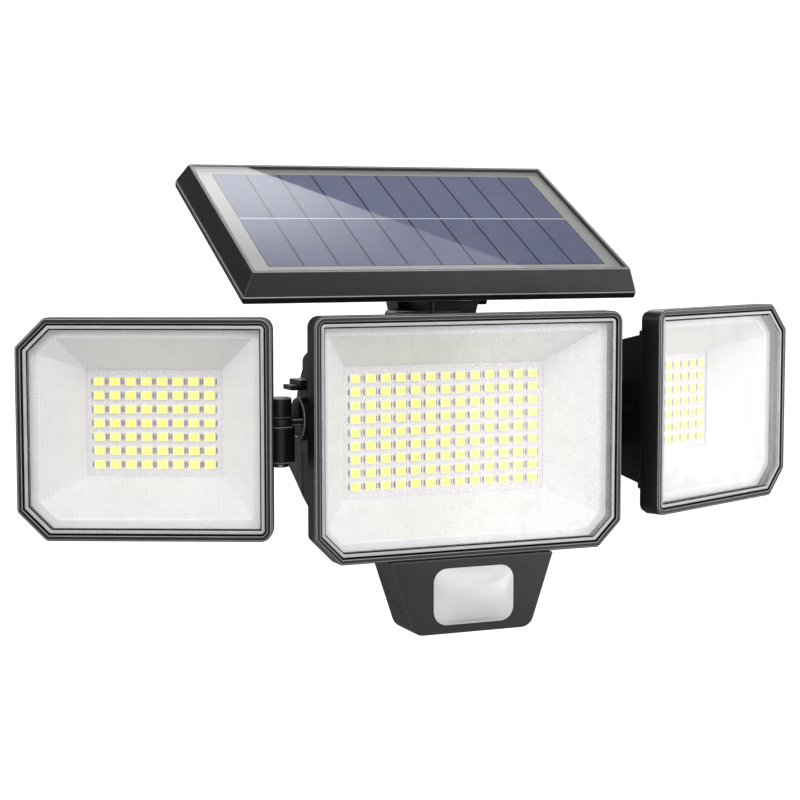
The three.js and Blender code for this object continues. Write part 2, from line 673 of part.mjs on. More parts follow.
// Main body.
place(light, 'main_housing', makeMainHousing(), black);
place(light, 'rear_cover', makeRearCover(), black);
coverScrewPlaces.forEach((at, i) => {
  place(light, `cover_screw_${i + 1}`, makeCoverScrew(at), steel);
});
place(light, 'center_bezel', makeBezel(CENTER_HEAD, CENTER_CORNERS), black);
place(light, 'center_gasket', makeGasket(CENTER_HEAD, CENTER_CORNERS), rubber);
place(light, 'center_lens', makeLens(CENTER_HEAD, CENTER_CORNERS), clear);
place(light, 'center_reflector',
  makeReflector(CENTER_HEAD, CENTER_CORNERS, CENTER_OPENING), white);
place(light, 'center_led_board', makeLampBoard(CENTER_OPENING), board);
place(light, 'battery_cell_1', makeBatteryCell(50, 3.8), wrap);
place(light, 'battery_cell_2', makeBatteryCell(51.6, -17), wrap);
place(light, 'controller_board', makeControllerBoard(), boardGreen);
place(light, 'sensor_housing', makeSensorHousing(), black);
place(light, 'sensor_lens', makeSensorLens(), white);
place(light, 'sensor_can', makeSensorCan(), steel);
place(light, 'sensor_board', extrude(rectangle(-27, 27, -92, -66), 'y', 12.3, 13.9), boardGreen);
place(light, 'button_switch', extrude(rectangle(-3, 3, 14.2, 24), 'z', -91.9, -88), rubber);
place(light, 'mode_button', makeModeButton(), rubber);

// Solar panel on its turret.
place(light, 'panel_turret', makeTurret(), black);
place(light, 'turret_screw', makeTurretScrew(), steel);
const panel = new THREE.Group();
panel.position.set(0, PANEL.y, PANEL.z);
panel.rotation.x = radians(PANEL.tilt);
light.add(panel);
place(panel, 'panel_tray', makePanelTray(), black);
place(panel, 'panel_glass', makePanelGlass(), glass);
place(panel, 'panel_cells', makePanelCells(), cells);
place(panel, 'panel_base', makePanelBase(), black);
const [pivotY, pivotZ] = pivotInPanel();
place(panel, 'panel_tilt_bolt',
  makeTiltBolt(pivotY, pivotZ, PANEL_BOLT.radius,
    { radius: PANEL_BOLT.head, height: PANEL_BOLT.headHeight },
    -PANEL_EAR.outer - GAP, PANEL_EAR.outer + 4), steel);
place(panel, 'panel_tilt_nut',
  makeNut(pivotY, pivotZ, PANEL_BOLT.bore, PANEL_BOLT.head,
    PANEL_EAR.outer + GAP, PANEL_EAR.outer + 3.6), steel);

// Side heads and their arms.
for (const [name, side] of [['left', -1], ['right', 1]]) {
  const sided = (shape) => (side < 0 ? shape : mirrored(shape));
  place(light, `${name}_hinge_arm`, sided(makeHingeArm()), black);
  place(light, `${name}_arm_screw`, sided(makeArmScrew()), steel);
  const swing = new THREE.Group();
  swing.position.set(side * HINGE.x, HINGE.y, SIDE_RAISE);
  swing.rotation.z = radians(side * SIDE_YAW);
  const head = new THREE.Group();
  head.position.set(side * BARREL_IN_HEAD.x, -BARREL_IN_HEAD.y, 0);
  swing.add(head);
  light.add(swing);
  for (const [piece, [shape, finish]] of Object.entries(sideHead)) {
    place(head, `${name}_${piece}`, sided(shape), finish);
  }
}

export default object;
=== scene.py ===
import json
import math
import bmesh
import bpy
from mathutils import Matrix, Vector


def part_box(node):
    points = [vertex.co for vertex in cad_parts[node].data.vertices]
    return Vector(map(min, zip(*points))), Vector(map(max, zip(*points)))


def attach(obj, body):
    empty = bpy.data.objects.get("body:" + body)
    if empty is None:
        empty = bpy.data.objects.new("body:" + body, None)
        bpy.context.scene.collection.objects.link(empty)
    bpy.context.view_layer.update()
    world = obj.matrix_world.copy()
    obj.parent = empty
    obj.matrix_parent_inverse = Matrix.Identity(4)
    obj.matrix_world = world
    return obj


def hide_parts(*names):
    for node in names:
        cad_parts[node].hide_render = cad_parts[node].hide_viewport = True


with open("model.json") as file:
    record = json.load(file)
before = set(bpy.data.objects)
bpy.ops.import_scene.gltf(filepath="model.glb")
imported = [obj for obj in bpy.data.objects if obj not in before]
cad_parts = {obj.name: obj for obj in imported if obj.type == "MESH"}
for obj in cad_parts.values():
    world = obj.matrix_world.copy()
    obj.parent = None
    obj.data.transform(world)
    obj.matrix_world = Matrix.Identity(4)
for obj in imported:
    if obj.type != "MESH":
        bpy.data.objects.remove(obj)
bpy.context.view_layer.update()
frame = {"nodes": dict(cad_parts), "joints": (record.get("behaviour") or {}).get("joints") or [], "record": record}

# ------------------------------------------------------------------ places from the frame
# Lengths below are in millimetres, in the frame of the assembly they belong to. Each
# place is a matrix that takes such a frame, scaled to metres, to the row frame.

MM = 0.001
SHIFT = Matrix.Translation
JOINTS = {joint["name"]: joint for joint in frame["joints"]}
SLOT_OF = {part["node"]: part["material_slot"] for part in frame["record"]["subparts"]}


def turn(degrees, axis):
    return Matrix.Rotation(math.radians(degrees), 4, axis)


bezel_low, bezel_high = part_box("center_bezel")
LIGHT = SHIFT((0, bezel_low.y, (bezel_low.z + bezel_high.z) / 2))
WALL = -bezel_low.y / MM  # depth of the wall behind the centre head's front face

SIDE_YAW = -JOINTS["left_head_swing"]["range_deg"][0]
BARREL_IN_HEAD = (60.2, 38.6)
SIDE_RAISE = 6.7
barrel = Vector(JOINTS["left_head_swing"]["pos_m"])
HINGE_X = -barrel.x / MM
HINGE_Y = (barrel.y - bezel_low.y) / MM
MIRROR = Matrix.Diagonal((-1, 1, 1, 1))
LEFT_HEAD = (LIGHT @ SHIFT((-HINGE_X * MM, HINGE_Y * MM, SIDE_RAISE * MM))
             @ turn(-SIDE_YAW, "Z")
             @ SHIFT((-BARREL_IN_HEAD[0] * MM, -BARREL_IN_HEAD[1] * MM, 0)))
SIDES = {"left": Matrix.Identity(4), "right": MIRROR}

PANEL_TILT = 27.3
GLASS_MIDDLE = -1.0
glass_low, glass_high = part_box("panel_glass")
PANEL = (SHIFT((glass_low + glass_high) / 2) @ turn(PANEL_TILT, "X")
         @ SHIFT((0, 0, -GLASS_MIDDLE * MM)))
tilt_axis = PANEL.inverted() @ Vector(JOINTS["panel_tilt"]["pos_m"]) / MM

# ------------------------------------------------------------------ dimensions

CENTER_SIZE = (165, 119)
SIDE_SIZE = (120.3, 105.2)
CENTER_CUT = 12.8
SIDE_CUT = 13.8
BEZEL_DEPTH = 10.2
CENTER_WELL = (110, 66)
SIDE_WELL = (66, 52)
BOARD_FRONT = 34.4
KNUCKLE_GAP = (5.3, 9)
DISC = {"z": 8, "radius": 10.7, "outer": 79, "inner": 75.6}
PIVOT = {"y": 100, "z": -20, "radius": 12}
FORK = (12.4, 19)  # the bracket's arms, from inner to outer face
PLATE = {"width": 56, "height": 100, "thickness": 4, "z": -10}
THREAD_PITCH = 0.8
TURRET_Y = 55
PANEL_SIZE = (205.7, 118.3)
SKIRT = {"flare": 4.7, "flare_depth": 11.6, "depth": 15.4}
CELL_SPAN = (184.6, 101.6)
CELL_COUNT = (10, 2)
CELL_GAP = (0.96, 0.6)
PRISM_PITCH = 1.25
SENSOR_TOP = -59.9
SENSOR_BOTTOM = -97
SENSOR_LENS = {"width": 43, "height": 28, "z": -78.5, "bulge": 5}
BUTTON_Y = 16
HOUSING_WALL = 2.2


# ------------------------------------------------------------------ outlines
# An outline is a function of inset that gives a fixed number of counter-clockwise points.

def filleted(corners, radii, steps=6, least=0.25):
    corners = [Vector(corner) for corner in corners]
    count = len(corners)
    along = [(corners[(i + 1) % count] - corners[i]).normalized() for i in range(count)]

    def outline(inset=0.0):
        points = []
        for i in range(count):
            u, v = along[i - 1], along[i]
            p = corners[i - 1] + Vector((-u.y, u.x)) * inset
            q = corners[i] + Vector((-v.y, v.x)) * inset
            cross = u.x * v.y - u.y * v.x
            corner = p + u * (((q - p).x * v.y - (q - p).y * v.x) / cross)
            bend = math.atan2(cross, u.dot(v))
            radius = max(radii[i] - inset, least)
            centre = corner - u * radius * math.tan(bend / 2) + Vector((-u.y, u.x)) * radius
            start = math.atan2(-u.x, u.y)
            for k in range(steps + 1):
                angle = start + bend * k / steps
                points.append(centre + Vector((math.cos(angle), math.sin(angle))) * radius)
        return points
    return outline


def rectangle(left, right, low, high, radius=0.5, steps=4):
    corners = [(left, low), (right, low), (right, high), (left, high)]
    return filleted(corners, [radius] * 4, steps)


def disc(a, b, radius, steps=48):
    def outline(inset=0.0):
        angles = [2 * math.pi * k / steps for k in range(steps)]
        reach = max(radius - inset, 0.01)
        return [Vector((a + reach * math.cos(t), b + reach * math.sin(t))) for t in angles]
    return outline


def head_outline(size, cut, cut_corners, edge=3.0, least=0.25):
    """cut_corners names which of the corners bl, br, tr and tl are cut off."""
    half_width, half_height = size[0] / 2, size[1] / 2
    corners, radii = [], []
    for name, sa, sb in (("bl", -1, -1), ("br", 1, -1), ("tr", 1, 1), ("tl", -1, 1)):
        if name not in cut_corners:
            corners.append((sa * half_width, sb * half_height))
            radii.append(5.5)
            continue
        pair = [(sa * half_width, sb * (half_height - cut)),
                (sa * (half_width - cut), sb * half_height)]
        corners.extend(pair if sa * sb > 0 else reversed(pair))
        radii.extend([edge, edge])
    return filleted(corners, radii, least=least)


def rounded_profile(points, radii, steps=3):
    """Rounds the corners of an open line of (inset, depth) points."""
    points = [Vector(point) for point in points]
    result = [points[0]]
    for i in range(1, len(points) - 1):
        u = (points[i] - points[i - 1]).normalized()
        v = (points[i + 1] - points[i]).normalized()
        bend = math.atan2(u.x * v.y - u.y * v.x, u.dot(v))
        radius = radii if isinstance(radii, (int, float)) else radii[i - 1]
        if radius <= 0 or abs(bend) < 0.05:
            result.append(points[i])
            continue
        side = 1 if bend > 0 else -1
        reach = radius * math.tan(abs(bend) / 2)
        centre = points[i] - u * reach + Vector((-u.y, u.x)) * radius * side
        arm = points[i] - u * reach - centre
        for k in range(steps + 1):
            result.append(centre + Matrix.Rotation(bend * k / steps, 2) @ arm)
    result.append(points[-1])
    return result


# ------------------------------------------------------------------ shapes

ROUNDING_STEP = 0.45
AXES = {
    "x": lambda a, b, depth: (depth, a, b),
    "y": lambda a, b, depth: (a, depth, b),
    "z": lambda a, b, depth: (a, b, depth),
}


class Shape:
    """Closed surfaces in millimetres, gathered before they become one mesh. Each face
    has a material slot."""

    def __init__(self):
        self.verts = []
        self.faces = []
        self.slots = []

    def face(self, corners, slot):
        self.faces.append(corners)
        self.slots.append(slot)

    def rings(self, rings, slot=0, loop=False):
        base, count = len(self.verts), len(rings[0])
        for ring in rings:
            self.verts.extend(Vector(point) for point in ring)
        for s in range(len(rings) if loop else len(rings) - 1):
            a, b = base + s * count, base + (s + 1) % len(rings) * count
            for i in range(count):
                j = (i + 1) % count
                self.face((a + i, b + i, b + j, a + j), slot)
        if not loop:
            last = base + (len(rings) - 1) * count
            self.face(tuple(range(base, base + count)), slot)
            self.face(tuple(range(last + count - 1, last - 1, -1)), slot)
        return self

    def sweep(self, outline, profile, axis="y", slot=0, loop=False, painted_highlight_slot=None):
        """Stacks the outline's copies along a profile of (inset, depth) points. The short steps
        of the profile's rounded corners get the slot given for painted edge highlights, if there is one."""
        place = AXES[axis]
        profile = [Vector(point) for point in profile]
        rings = [[place(p[0], p[1], depth) for p in outline(inset)] for inset, depth in profile]
        first = len(self.faces)
        self.rings(rings, slot, loop)
        if painted_highlight_slot is not None:
            count = len(rings[0])
            for s in range(len(rings) if loop else len(rings) - 1):
                if (profile[(s + 1) % len(rings)] - profile[s]).length < ROUNDING_STEP:
                    start = first + s * count
                    self.slots[start:start + count] = [painted_highlight_slot] * count
        return self

    def block(self, outline, low, high, axis="y", edge=0.4, slot=0, steps=3, painted_highlight_slot=None):
        """An extruded outline with rounded rims at both ends."""
        quarter = [math.pi / 2 * k / steps for k in range(steps + 1)]
        start = [(edge * (1 - math.sin(t)), low + edge * (1 - math.cos(t))) for t in quarter]
        end = [(inset, high + low - depth) for inset, depth in reversed(start)]
        return self.sweep(outline, start + end, axis, slot, painted_highlight_slot=painted_highlight_slot)


MIN_SHARP = 42


def add_object(name, data):
    obj = bpy.data.objects.new(name, data)
    bpy.context.scene.collection.objects.link(obj)
    return obj


def shape_mesh(name, shape, place):
    """The shape's mesh in the row frame, with its faces turned outwards."""
    mesh = bpy.data.meshes.new(name)
    mesh.from_pydata([place @ (Vector(v) * MM) for v in shape.verts], [], shape.faces)
    solid = bmesh.new()
    solid.from_mesh(mesh)
    bmesh.ops.recalc_face_normals(solid, faces=solid.faces)
    solid.to_mesh(mesh)
    solid.free()
    return mesh


def piece(name, shape, place, materials, body, replaces=(), sharp=MIN_SHARP):
    """Makes a piece that rides on a body, in the place of the CAD nodes it replaces. It
    keeps each point's own-frame place for the materials."""
    mesh = shape_mesh(name, shape, place)
    for material in materials:
        mesh.materials.append(material)
    mesh.polygons.foreach_set("material_index", shape.slots)
    mesh.polygons.foreach_set("use_smooth", [True] * len(mesh.polygons))
    local = mesh.attributes.new("local", "FLOAT_VECTOR", "POINT")
    local.data.foreach_set("vector", [x for v in shape.verts for x in v])
    mesh.set_sharp_from_angle(angle=math.radians(sharp))
    obj = add_object(name, mesh)
    flats = obj.modifiers.new("flats", "WEIGHTED_NORMAL")
    flats.keep_sharp = True
    flats.weight = 60
    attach(obj, body)
    if replaces:
        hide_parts(*replaces)
    return obj


def finer(node, shape, place, materials, body, sharp=MIN_SHARP):
    """The piece that takes the place of one CAD node, and is named after it."""
    return piece(f"{node}_fine", shape, place, materials, body, [node], sharp)


def carve(obj, shape, place):
    """Cuts the shape out of a piece that is already in place, with flat-shaded walls."""
    cutter = add_object("cutter", shape_mesh("cutter", shape, place))
    flats = obj.modifiers["flats"]
    flats.show_viewport = False
    holes = obj.modifiers.new("holes", "BOOLEAN")
    holes.operation, holes.object, holes.solver = "DIFFERENCE", cutter, "EXACT"
    holes.use_self = True
    scene = bpy.context.evaluated_depsgraph_get()
    drilled = bpy.data.meshes.new_from_object(obj.evaluated_get(scene))
    obj.modifiers.remove(holes)
    flats.show_viewport = True
    obj.data = drilled
    bpy.data.objects.remove(cutter)


# ------------------------------------------------------------------ materials

class Nodes:
    """A material's principled shader, with short ways to add nodes to it."""

    def __init__(self, name, color, roughness, **sockets):
        self.material = bpy.data.materials.new(name)
        self.material.use_nodes = True
        self.tree = self.material.node_tree
        self.shader = self.tree.nodes["Principled BSDF"]
        self.shader.inputs["Base Color"].default_value = (*color, 1)
        self.shader.inputs["Roughness"].default_value = roughness
        for socket, value in sockets.items():
            self.shader.inputs[socket.replace("_", " ")].default_value = value

    def add(self, kind, settings=None, **inputs):
        node = self.tree.nodes.new(kind)
        for key, value in (settings or {}).items():
            setattr(node, key, value)
        for key, value in inputs.items():
            self.feed(node.inputs[key.replace("_", " ")], value)
        return node

    def feed(self, socket, value):
        if isinstance(value, bpy.types.NodeSocket):
            self.tree.links.new(value, socket)
        else:
            socket.default_value = value

    def place(self, own_frame=False):
        """A point's place: in its piece's own frame in mm, or in the row frame in m."""
        if own_frame:
            settings = {"attribute_name": "local", "attribute_type": "GEOMETRY"}
            return self.add("ShaderNodeAttribute", settings).outputs["Vector"]
        return self.add("ShaderNodeTexCoord").outputs["Object"]

    def noise(self, where, scale, detail=2.0, roughness=0.5):
        node = self.add("ShaderNodeTexNoise", Vector=where, Scale=scale, Detail=detail,
                        Roughness=roughness)
        return node.outputs["Fac"]

    def math(self, operation, a, b=0.0):
        node = self.add("ShaderNodeMath", {"operation": operation})
        self.feed(node.inputs[0], a)
        self.feed(node.inputs[1], b)
        return node.outputs[0]

    def ramp(self, factor, low, high, to_low=0.0, to_high=1.0):
        node = self.add("ShaderNodeMapRange", {"interpolation_type": "SMOOTHSTEP"},
                        Value=factor, From_Min=low, From_Max=high, To_Min=to_low,
                        To_Max=to_high)
        return node.outputs["Result"]

    def wander(self, where, scale, low, high, detail=3):
        """A number that drifts between low and high from place to place."""
        return self.ramp(self.noise(where, scale, detail), 0.3, 0.7, low, high)

    def mix(self, factor, a, b):
        node = self.add("ShaderNodeMix", {"data_type": "RGBA"})
        self.feed(node.inputs["Factor"], factor)
        for index, value in ((6, a), (7, b)):
            color = value if isinstance(value, bpy.types.NodeSocket) else (*value, 1)
            self.feed(node.inputs[index], color)
        return node.outputs[2]

    def color(self, value):
        self.feed(self.shader.inputs["Base Color"], value)

    def mottle(self, where, scale, a, b, detail=2.0):
        """Lets the colour drift between two tones."""
        self.color(self.mix(self.noise(where, scale, detail), a, b))

    def rough(self, value):
        self.feed(self.shader.inputs["Roughness"], value)

    def see_through(self, haze, ior=1.5, gloss=0.05):
        """Clear but for a haze share, under a mirror that grows with the angle. Only the
        side a ray comes in by counts, so that a pane isn't met twice."""
        behind = self.add("ShaderNodeNewGeometry").outputs["Backfacing"]
        entering = self.math("SUBTRACT", 1.0, behind)
        fresnel = self.add("ShaderNodeFresnel", IOR=ior).outputs[0]
        body = self.add("ShaderNodeMixShader", Fac=self.math("MULTIPLY", haze, entering))
        clear = self.add("ShaderNodeBsdfTransparent")
        mirror = self.add("ShaderNodeBsdfPrincipled", Metallic=1.0, Roughness=gloss)
        mirror.inputs["Base Color"].default_value = (1, 1, 1, 1)
        top = self.add("ShaderNodeMixShader", Fac=self.math("MULTIPLY", fresnel, entering))
        for node, pair in ((body, (clear, self.shader)), (top, (body, mirror))):
            for socket, shader in zip((1, 2), pair):
                self.tree.links.new(shader.outputs[0], node.inputs[socket])
        self.tree.links.new(top.outputs[0], self.tree.nodes["Material Output"].inputs["Surface"])
        return mirror

    def bump(self, height, distance, strength=1.0):
        node = self.add("ShaderNodeBump", Height=height, Distance=distance, Strength=strength)
        self.feed(self.shader.inputs["Normal"], node.outputs["Normal"])

    def grain(self, where, scale, distance):
        self.bump(self.noise(where, scale), distance)


def scaled(color, factor):
    return tuple(channel * factor for channel in color)


def moulded_plastic(name, color, roughness, grain=0.00004, gloss=0.45):
    """Spark-eroded moulding: a fine grain, and slow changes of tone and gloss."""
    nodes = Nodes(name, color, roughness, Specular_IOR_Level=gloss)
    where = nodes.place()
    nodes.mottle(where, 26, scaled(color, 0.82), scaled(color, 1.2), 3)
    smear = nodes.noise(where, 60, 4, 0.6)
    nodes.rough(nodes.ramp(smear, 0.3, 0.7, roughness - 0.05, roughness + 0.07))
    nodes.grain(where, 2600, grain)
    return nodes.material


def reflector_plastic():
    color = (0.84, 0.84, 0.865)
    nodes = Nodes("white_reflector", color, 0.32)
    where = nodes.place()
    nodes.mottle(where, 40, scaled(color, 0.97), scaled(color, 1.02), 3)
    nodes.rough(nodes.wander(where, 90, 0.36, 0.42))
    nodes.grain(where, 700, 0.00001)
    return nodes.material


def lens_plastic():
    """Clear polycarbonate with rows of tiny square prisms on its inner face."""
    nodes = Nodes("textured_lens", (0.93, 0.94, 0.94), 0.3)
    where = nodes.place(True)
    split = nodes.add("ShaderNodeSeparateXYZ", Vector=where)
    turns = 2 * math.pi / PRISM_PITCH
    waves = [nodes.math("SINE", nodes.math("MULTIPLY", split.outputs[axis], turns))
             for axis in ("X", "Z")]
    height = nodes.math("MULTIPLY", waves[0], waves[1])
    sparkle = nodes.ramp(height, 0.1, 0.9, 0.08, 0.26)
    haze = nodes.ramp(nodes.noise(where, 0.05, 2), 0.2, 0.8, -0.02, 0.04)
    mirror = nodes.see_through(nodes.math("ADD", sparkle, haze), gloss=0.12)
    nodes.bump(height, 0.00022, 0.8)
    nodes.feed(mirror.inputs["Roughness"], nodes.wander(where, 0.12, 0.08, 0.18))
    return nodes.material


def rim_plastic():
    """The lens's clear solid edge, drawn opaque: its pale grey is painted light, standing in for the light that
    the edge pipes.
    """
    nodes = Nodes("lens_rim", (0.42, 0.43, 0.44), 0.14, IOR=1.52)
    where = nodes.place()
    nodes.mottle(where, 120, (0.34, 0.35, 0.36), (0.5, 0.51, 0.52))
    return nodes.material


def phosphor():
    color = (0.9, 0.93, 0.14)
    # The faint emission is a painted glow: it lifts the phosphor's brightness.
    nodes = Nodes("phosphor", color, 0.45, Emission_Strength=0.32)
    nodes.shader.inputs["Emission Color"].default_value = (1, 0.9, 0.3, 1)
    where = nodes.place()
    nodes.mottle(where, 900, (0.84, 0.84, 0.1), (0.93, 0.95, 0.2))
    nodes.grain(where, 2400, 0.00003)
    return nodes.material


def package_plastic():
    nodes = Nodes("led_package", (0.86, 0.86, 0.83), 0.35)
    where = nodes.place()
    nodes.mottle(where, 800, (0.82, 0.82, 0.78), (0.9, 0.9, 0.88))
    return nodes.material


def board_mask():
    """White solder mask under a purple-grey mottle: painted shading that stands in for the lens prisms'
    refraction.
    """
    nodes = Nodes("lamp_board", (0.82, 0.78, 0.78), 0.38)
    where = nodes.place(True)
    wave = nodes.noise(where, 0.9, 4, 0.7)
    nodes.color(nodes.mix(nodes.ramp(wave, 0.35, 0.65), (0.7, 0.66, 0.7), (0.9, 0.87, 0.86)))
    nodes.bump(wave, 0.00005)
    return nodes.material


def solder():
    nodes = Nodes("solder", (0.4, 0.37, 0.42), 0.35, Metallic=0.6)
    where = nodes.place()
    nodes.mottle(where, 1600, (0.2, 0.18, 0.24), (0.66, 0.62, 0.68), 3)
    nodes.grain(where, 1500, 0.0001)
    return nodes.material


def green_board():
    nodes = Nodes("circuit_board", (0.015, 0.12, 0.045), 0.4)
    where = nodes.place(True)
    cells = nodes.add("ShaderNodeTexVoronoi", {"feature": "DISTANCE_TO_EDGE"}, Vector=where,
                      Scale=0.28)
    track = nodes.ramp(cells.outputs["Distance"], 0.03, 0.06)
    nodes.color(nodes.mix(track, (0.03, 0.2, 0.08), (0.012, 0.1, 0.035)))
    nodes.bump(track, 0.00003)
    return nodes.material


def steel():
    nodes = Nodes("zinc_steel", (0.55, 0.55, 0.57), 0.32, Metallic=1.0)
    where = nodes.place()
    nodes.mottle(where, 320, (0.46, 0.46, 0.48), (0.62, 0.62, 0.64), 4)
    nodes.rough(nodes.wander(where, 500, 0.24, 0.42))
    nodes.grain(where, 1800, 0.00002)
    return nodes.material


def silicon():
    """Blue-violet cells with faint fingers and slow changes of shade between cells."""
    nodes = Nodes("solar_cell", (0.06, 0.07, 0.14), 0.45, Specular_IOR_Level=0.12)
    where = nodes.place(True)
    split = nodes.add("ShaderNodeSeparateXYZ", Vector=where)
    fingers = nodes.math("SINE", nodes.math("MULTIPLY", split.outputs["Y"], 2 * math.pi / 1.9))
    finger = nodes.ramp(fingers, 0.9, 1.0, 0.0, 0.22)
    column = nodes.math("FLOOR", nodes.math("DIVIDE", split.outputs["X"],
                                            CELL_SPAN[0] / CELL_COUNT[0]))
    row = nodes.math("SIGN", split.outputs["Y"])
    which = nodes.add("ShaderNodeCombineXYZ", X=column, Y=row, Z=0.0)
    shade = nodes.add("ShaderNodeTexWhiteNoise", Vector=which.outputs[0]).outputs["Value"]
    base = nodes.mix(shade, (0.068, 0.079, 0.178), (0.09, 0.103, 0.222))
    cloud = nodes.noise(where, 0.09, 3)
    base = nodes.mix(nodes.ramp(cloud, 0.35, 0.7, 0.0, 0.5), base, (0.105, 0.113, 0.21))
    nodes.color(nodes.mix(finger, base, (0.2, 0.21, 0.28)))
    return nodes.material


def backing():
    nodes = Nodes("panel_backing", (0.1, 0.1, 0.097), 0.4)
    where = nodes.place()
    nodes.mottle(where, 30, (0.22, 0.221, 0.216), (0.29, 0.291, 0.286))
    return nodes.material


def busbar():
    nodes = Nodes("busbar", (0.45, 0.47, 0.55), 0.35, Metallic=0.3)
    where = nodes.place()
    nodes.mottle(where, 400, (0.4, 0.42, 0.5), (0.5, 0.52, 0.6))
    return nodes.material


def cover_glass():
    nodes = Nodes("panel_glass", (0.9, 0.91, 0.93), 0.3)
    where = nodes.place()
    dust = nodes.ramp(nodes.noise(where, 30, 4, 0.6), 0.3, 0.8, 0.01, 0.03)
    mirror = nodes.see_through(dust, 1.52)
    nodes.feed(mirror.inputs["Roughness"], nodes.wander(where, 14, 0.004, 0.015))
    return nodes.material


def sensor_white():
    nodes = Nodes("sensor_lens", (0.6, 0.6, 0.6), 0.2, Subsurface_Weight=0.25,
                  Subsurface_Scale=0.004)
    where = nodes.place()
    nodes.mottle(where, 50, (0.58, 0.58, 0.58), (0.64, 0.64, 0.64))
    nodes.rough(nodes.wander(where, 130, 0.15, 0.25))
    return nodes.material


def shrink_wrap():
    nodes = Nodes("battery_wrap", (0.02, 0.13, 0.42), 0.28)
    where = nodes.place()
    nodes.mottle(where, 60, (0.015, 0.1, 0.34), (0.03, 0.16, 0.5))
    nodes.grain(where, 240, 0.00008)
    return nodes.material


BLACK = moulded_plastic("black_plastic", (0.007, 0.0072, 0.0077), 0.36)
# Painted highlights: a lighter grey plastic on the small rounded edges, standing in for the thin lines of light
# along them.
PAINTED_EDGE_HIGHLIGHT = moulded_plastic("black_plastic_painted_edge_highlight", (0.24, 0.241, 0.245), 0.26)
# A dimmer painted highlight, for the sensor housing's rounded edges.
SOFT_PAINTED_EDGE_HIGHLIGHT = moulded_plastic("black_plastic_soft_painted_edge_highlight", (0.045, 0.0455, 0.047), 0.3)
# Near-black with little gloss: painted shade in the rings laid into the bezel's and lens's grooves, and the dark
# gaps between the solar cells.
PAINTED_SHADE_AND_GAP_BLACK = moulded_plastic("black_painted_shade_and_cell_gaps", (0.001, 0.001, 0.0012), 0.7, gloss=0.1)
RUBBER = moulded_plastic("black_rubber", (0.008, 0.008, 0.008), 0.72, 0.00008)
WHITE = reflector_plastic()
LENS = lens_plastic()
RIM = rim_plastic()
PHOSPHOR = phosphor()
PACKAGE = package_plastic()
LAMP_BOARD = board_mask()
SOLDER = solder()
GREEN = green_board()
STEEL = steel()
SILICON = silicon()
BACKING = backing()
BUSBAR = busbar()
GLASS = cover_glass()
SENSOR_WHITE = sensor_white()
WRAP = shrink_wrap()


# ------------------------------------------------------------------ lamp heads
# Own frame: origin at the centre of the head's front face, depth along +Y.

def bezel_shape(outline):
    front = rounded_profile([
        (0, BEZEL_DEPTH), (0, 0.7), (0.7, 0), (2.7, 0), (2.7, 1.1), (3.5, 1.1), (3.5, 5),
        (5.4, 5), (5.4, 7), (2.6, 7), (2.6, BEZEL_DEPTH),
    ], [0.6, 0.6, 0.35, 0, 0.1, 0, 0.3, 0.3, 0])
    shape = Shape().sweep(outline, front, loop=True, painted_highlight_slot=1)
    # A near-black ring laid over the groove's floor: painted shade.
    groove = [(2.72, 1.6), (2.72, 1.04), (3.52, 1.04), (3.52, 1.6)]
    return shape.sweep(outline, groove, slot=2, loop=True)


def lens_shape(outline):
    """Slot 0 is the textured window, slot 1 the pale rim, drawn opaque with a painted pale grey for the light it
    pipes, and slot 2 the groove inside it, a near-black ring of painted shade.
    """
    shape = Shape()
    rim = rounded_profile([(5.2, 3.6), (3.65, 3.6), (3.65, 0.8), (5.2, 0.8), (5.2, 3.6)], 0.3)
    shape.sweep(outline, rim[:-1], slot=1, loop=True)
    # A near-black ring inside the rim: painted shade.
    groove = [(5.22, 3.5), (5.22, 2.0), (5.78, 2.0), (5.78, 3.5)]
    shape.sweep(outline, groove, slot=2, loop=True)
    shape.block(lambda inset: outline(5.8 + inset), 1.0, 3.5, edge=0.35, slot=0)
    return shape


def reflector_shape(outline, well):
    """A flat rim, a rounded lip and sloping walls with mitre creases down to the board."""
    width, height = well
    mouth, rim_front, wall = 10.2, 7.3, 1.3
    start, back, steps = rim_front + 1.1, 34, 6
    profile = [(3.3, rim_front), (mouth - 1.2, rim_front), (mouth - 0.2, rim_front + 0.4),
               (mouth, start)]
    rings = [[(p.x, depth, p.y) for p in outline(inset)] for inset, depth in profile]
    top = outline(mouth)
    floor = [(max(-width / 2, min(width / 2, p.x)), max(-height / 2, min(height / 2, p.y)))
             for p in top]
    for k in range(1, steps + 1):
        t = k / steps
        rings.append([(p.x + (q[0] - p.x) * t, start + (back - start) * t,
                       p.y + (q[1] - p.y) * t) for p, q in zip(top, floor)])
    outer = [[(x * (1 + wall / width), back, z * (1 + wall / height)) for x, _, z in rings[-1]],
             [(p.x, start + 2, p.y) for p in outline(mouth - 2)],
             [(p.x, rim_front + 1.4, p.y) for p in outline(3.3)]]
    return Shape().rings(rings + outer, loop=True)


def grid(count, pitch):
    columns, rows = count
    for i in range(columns):
        for j in range(rows):
            yield (i - (columns - 1) / 2) * pitch[0], (j - (rows - 1) / 2) * pitch[1]


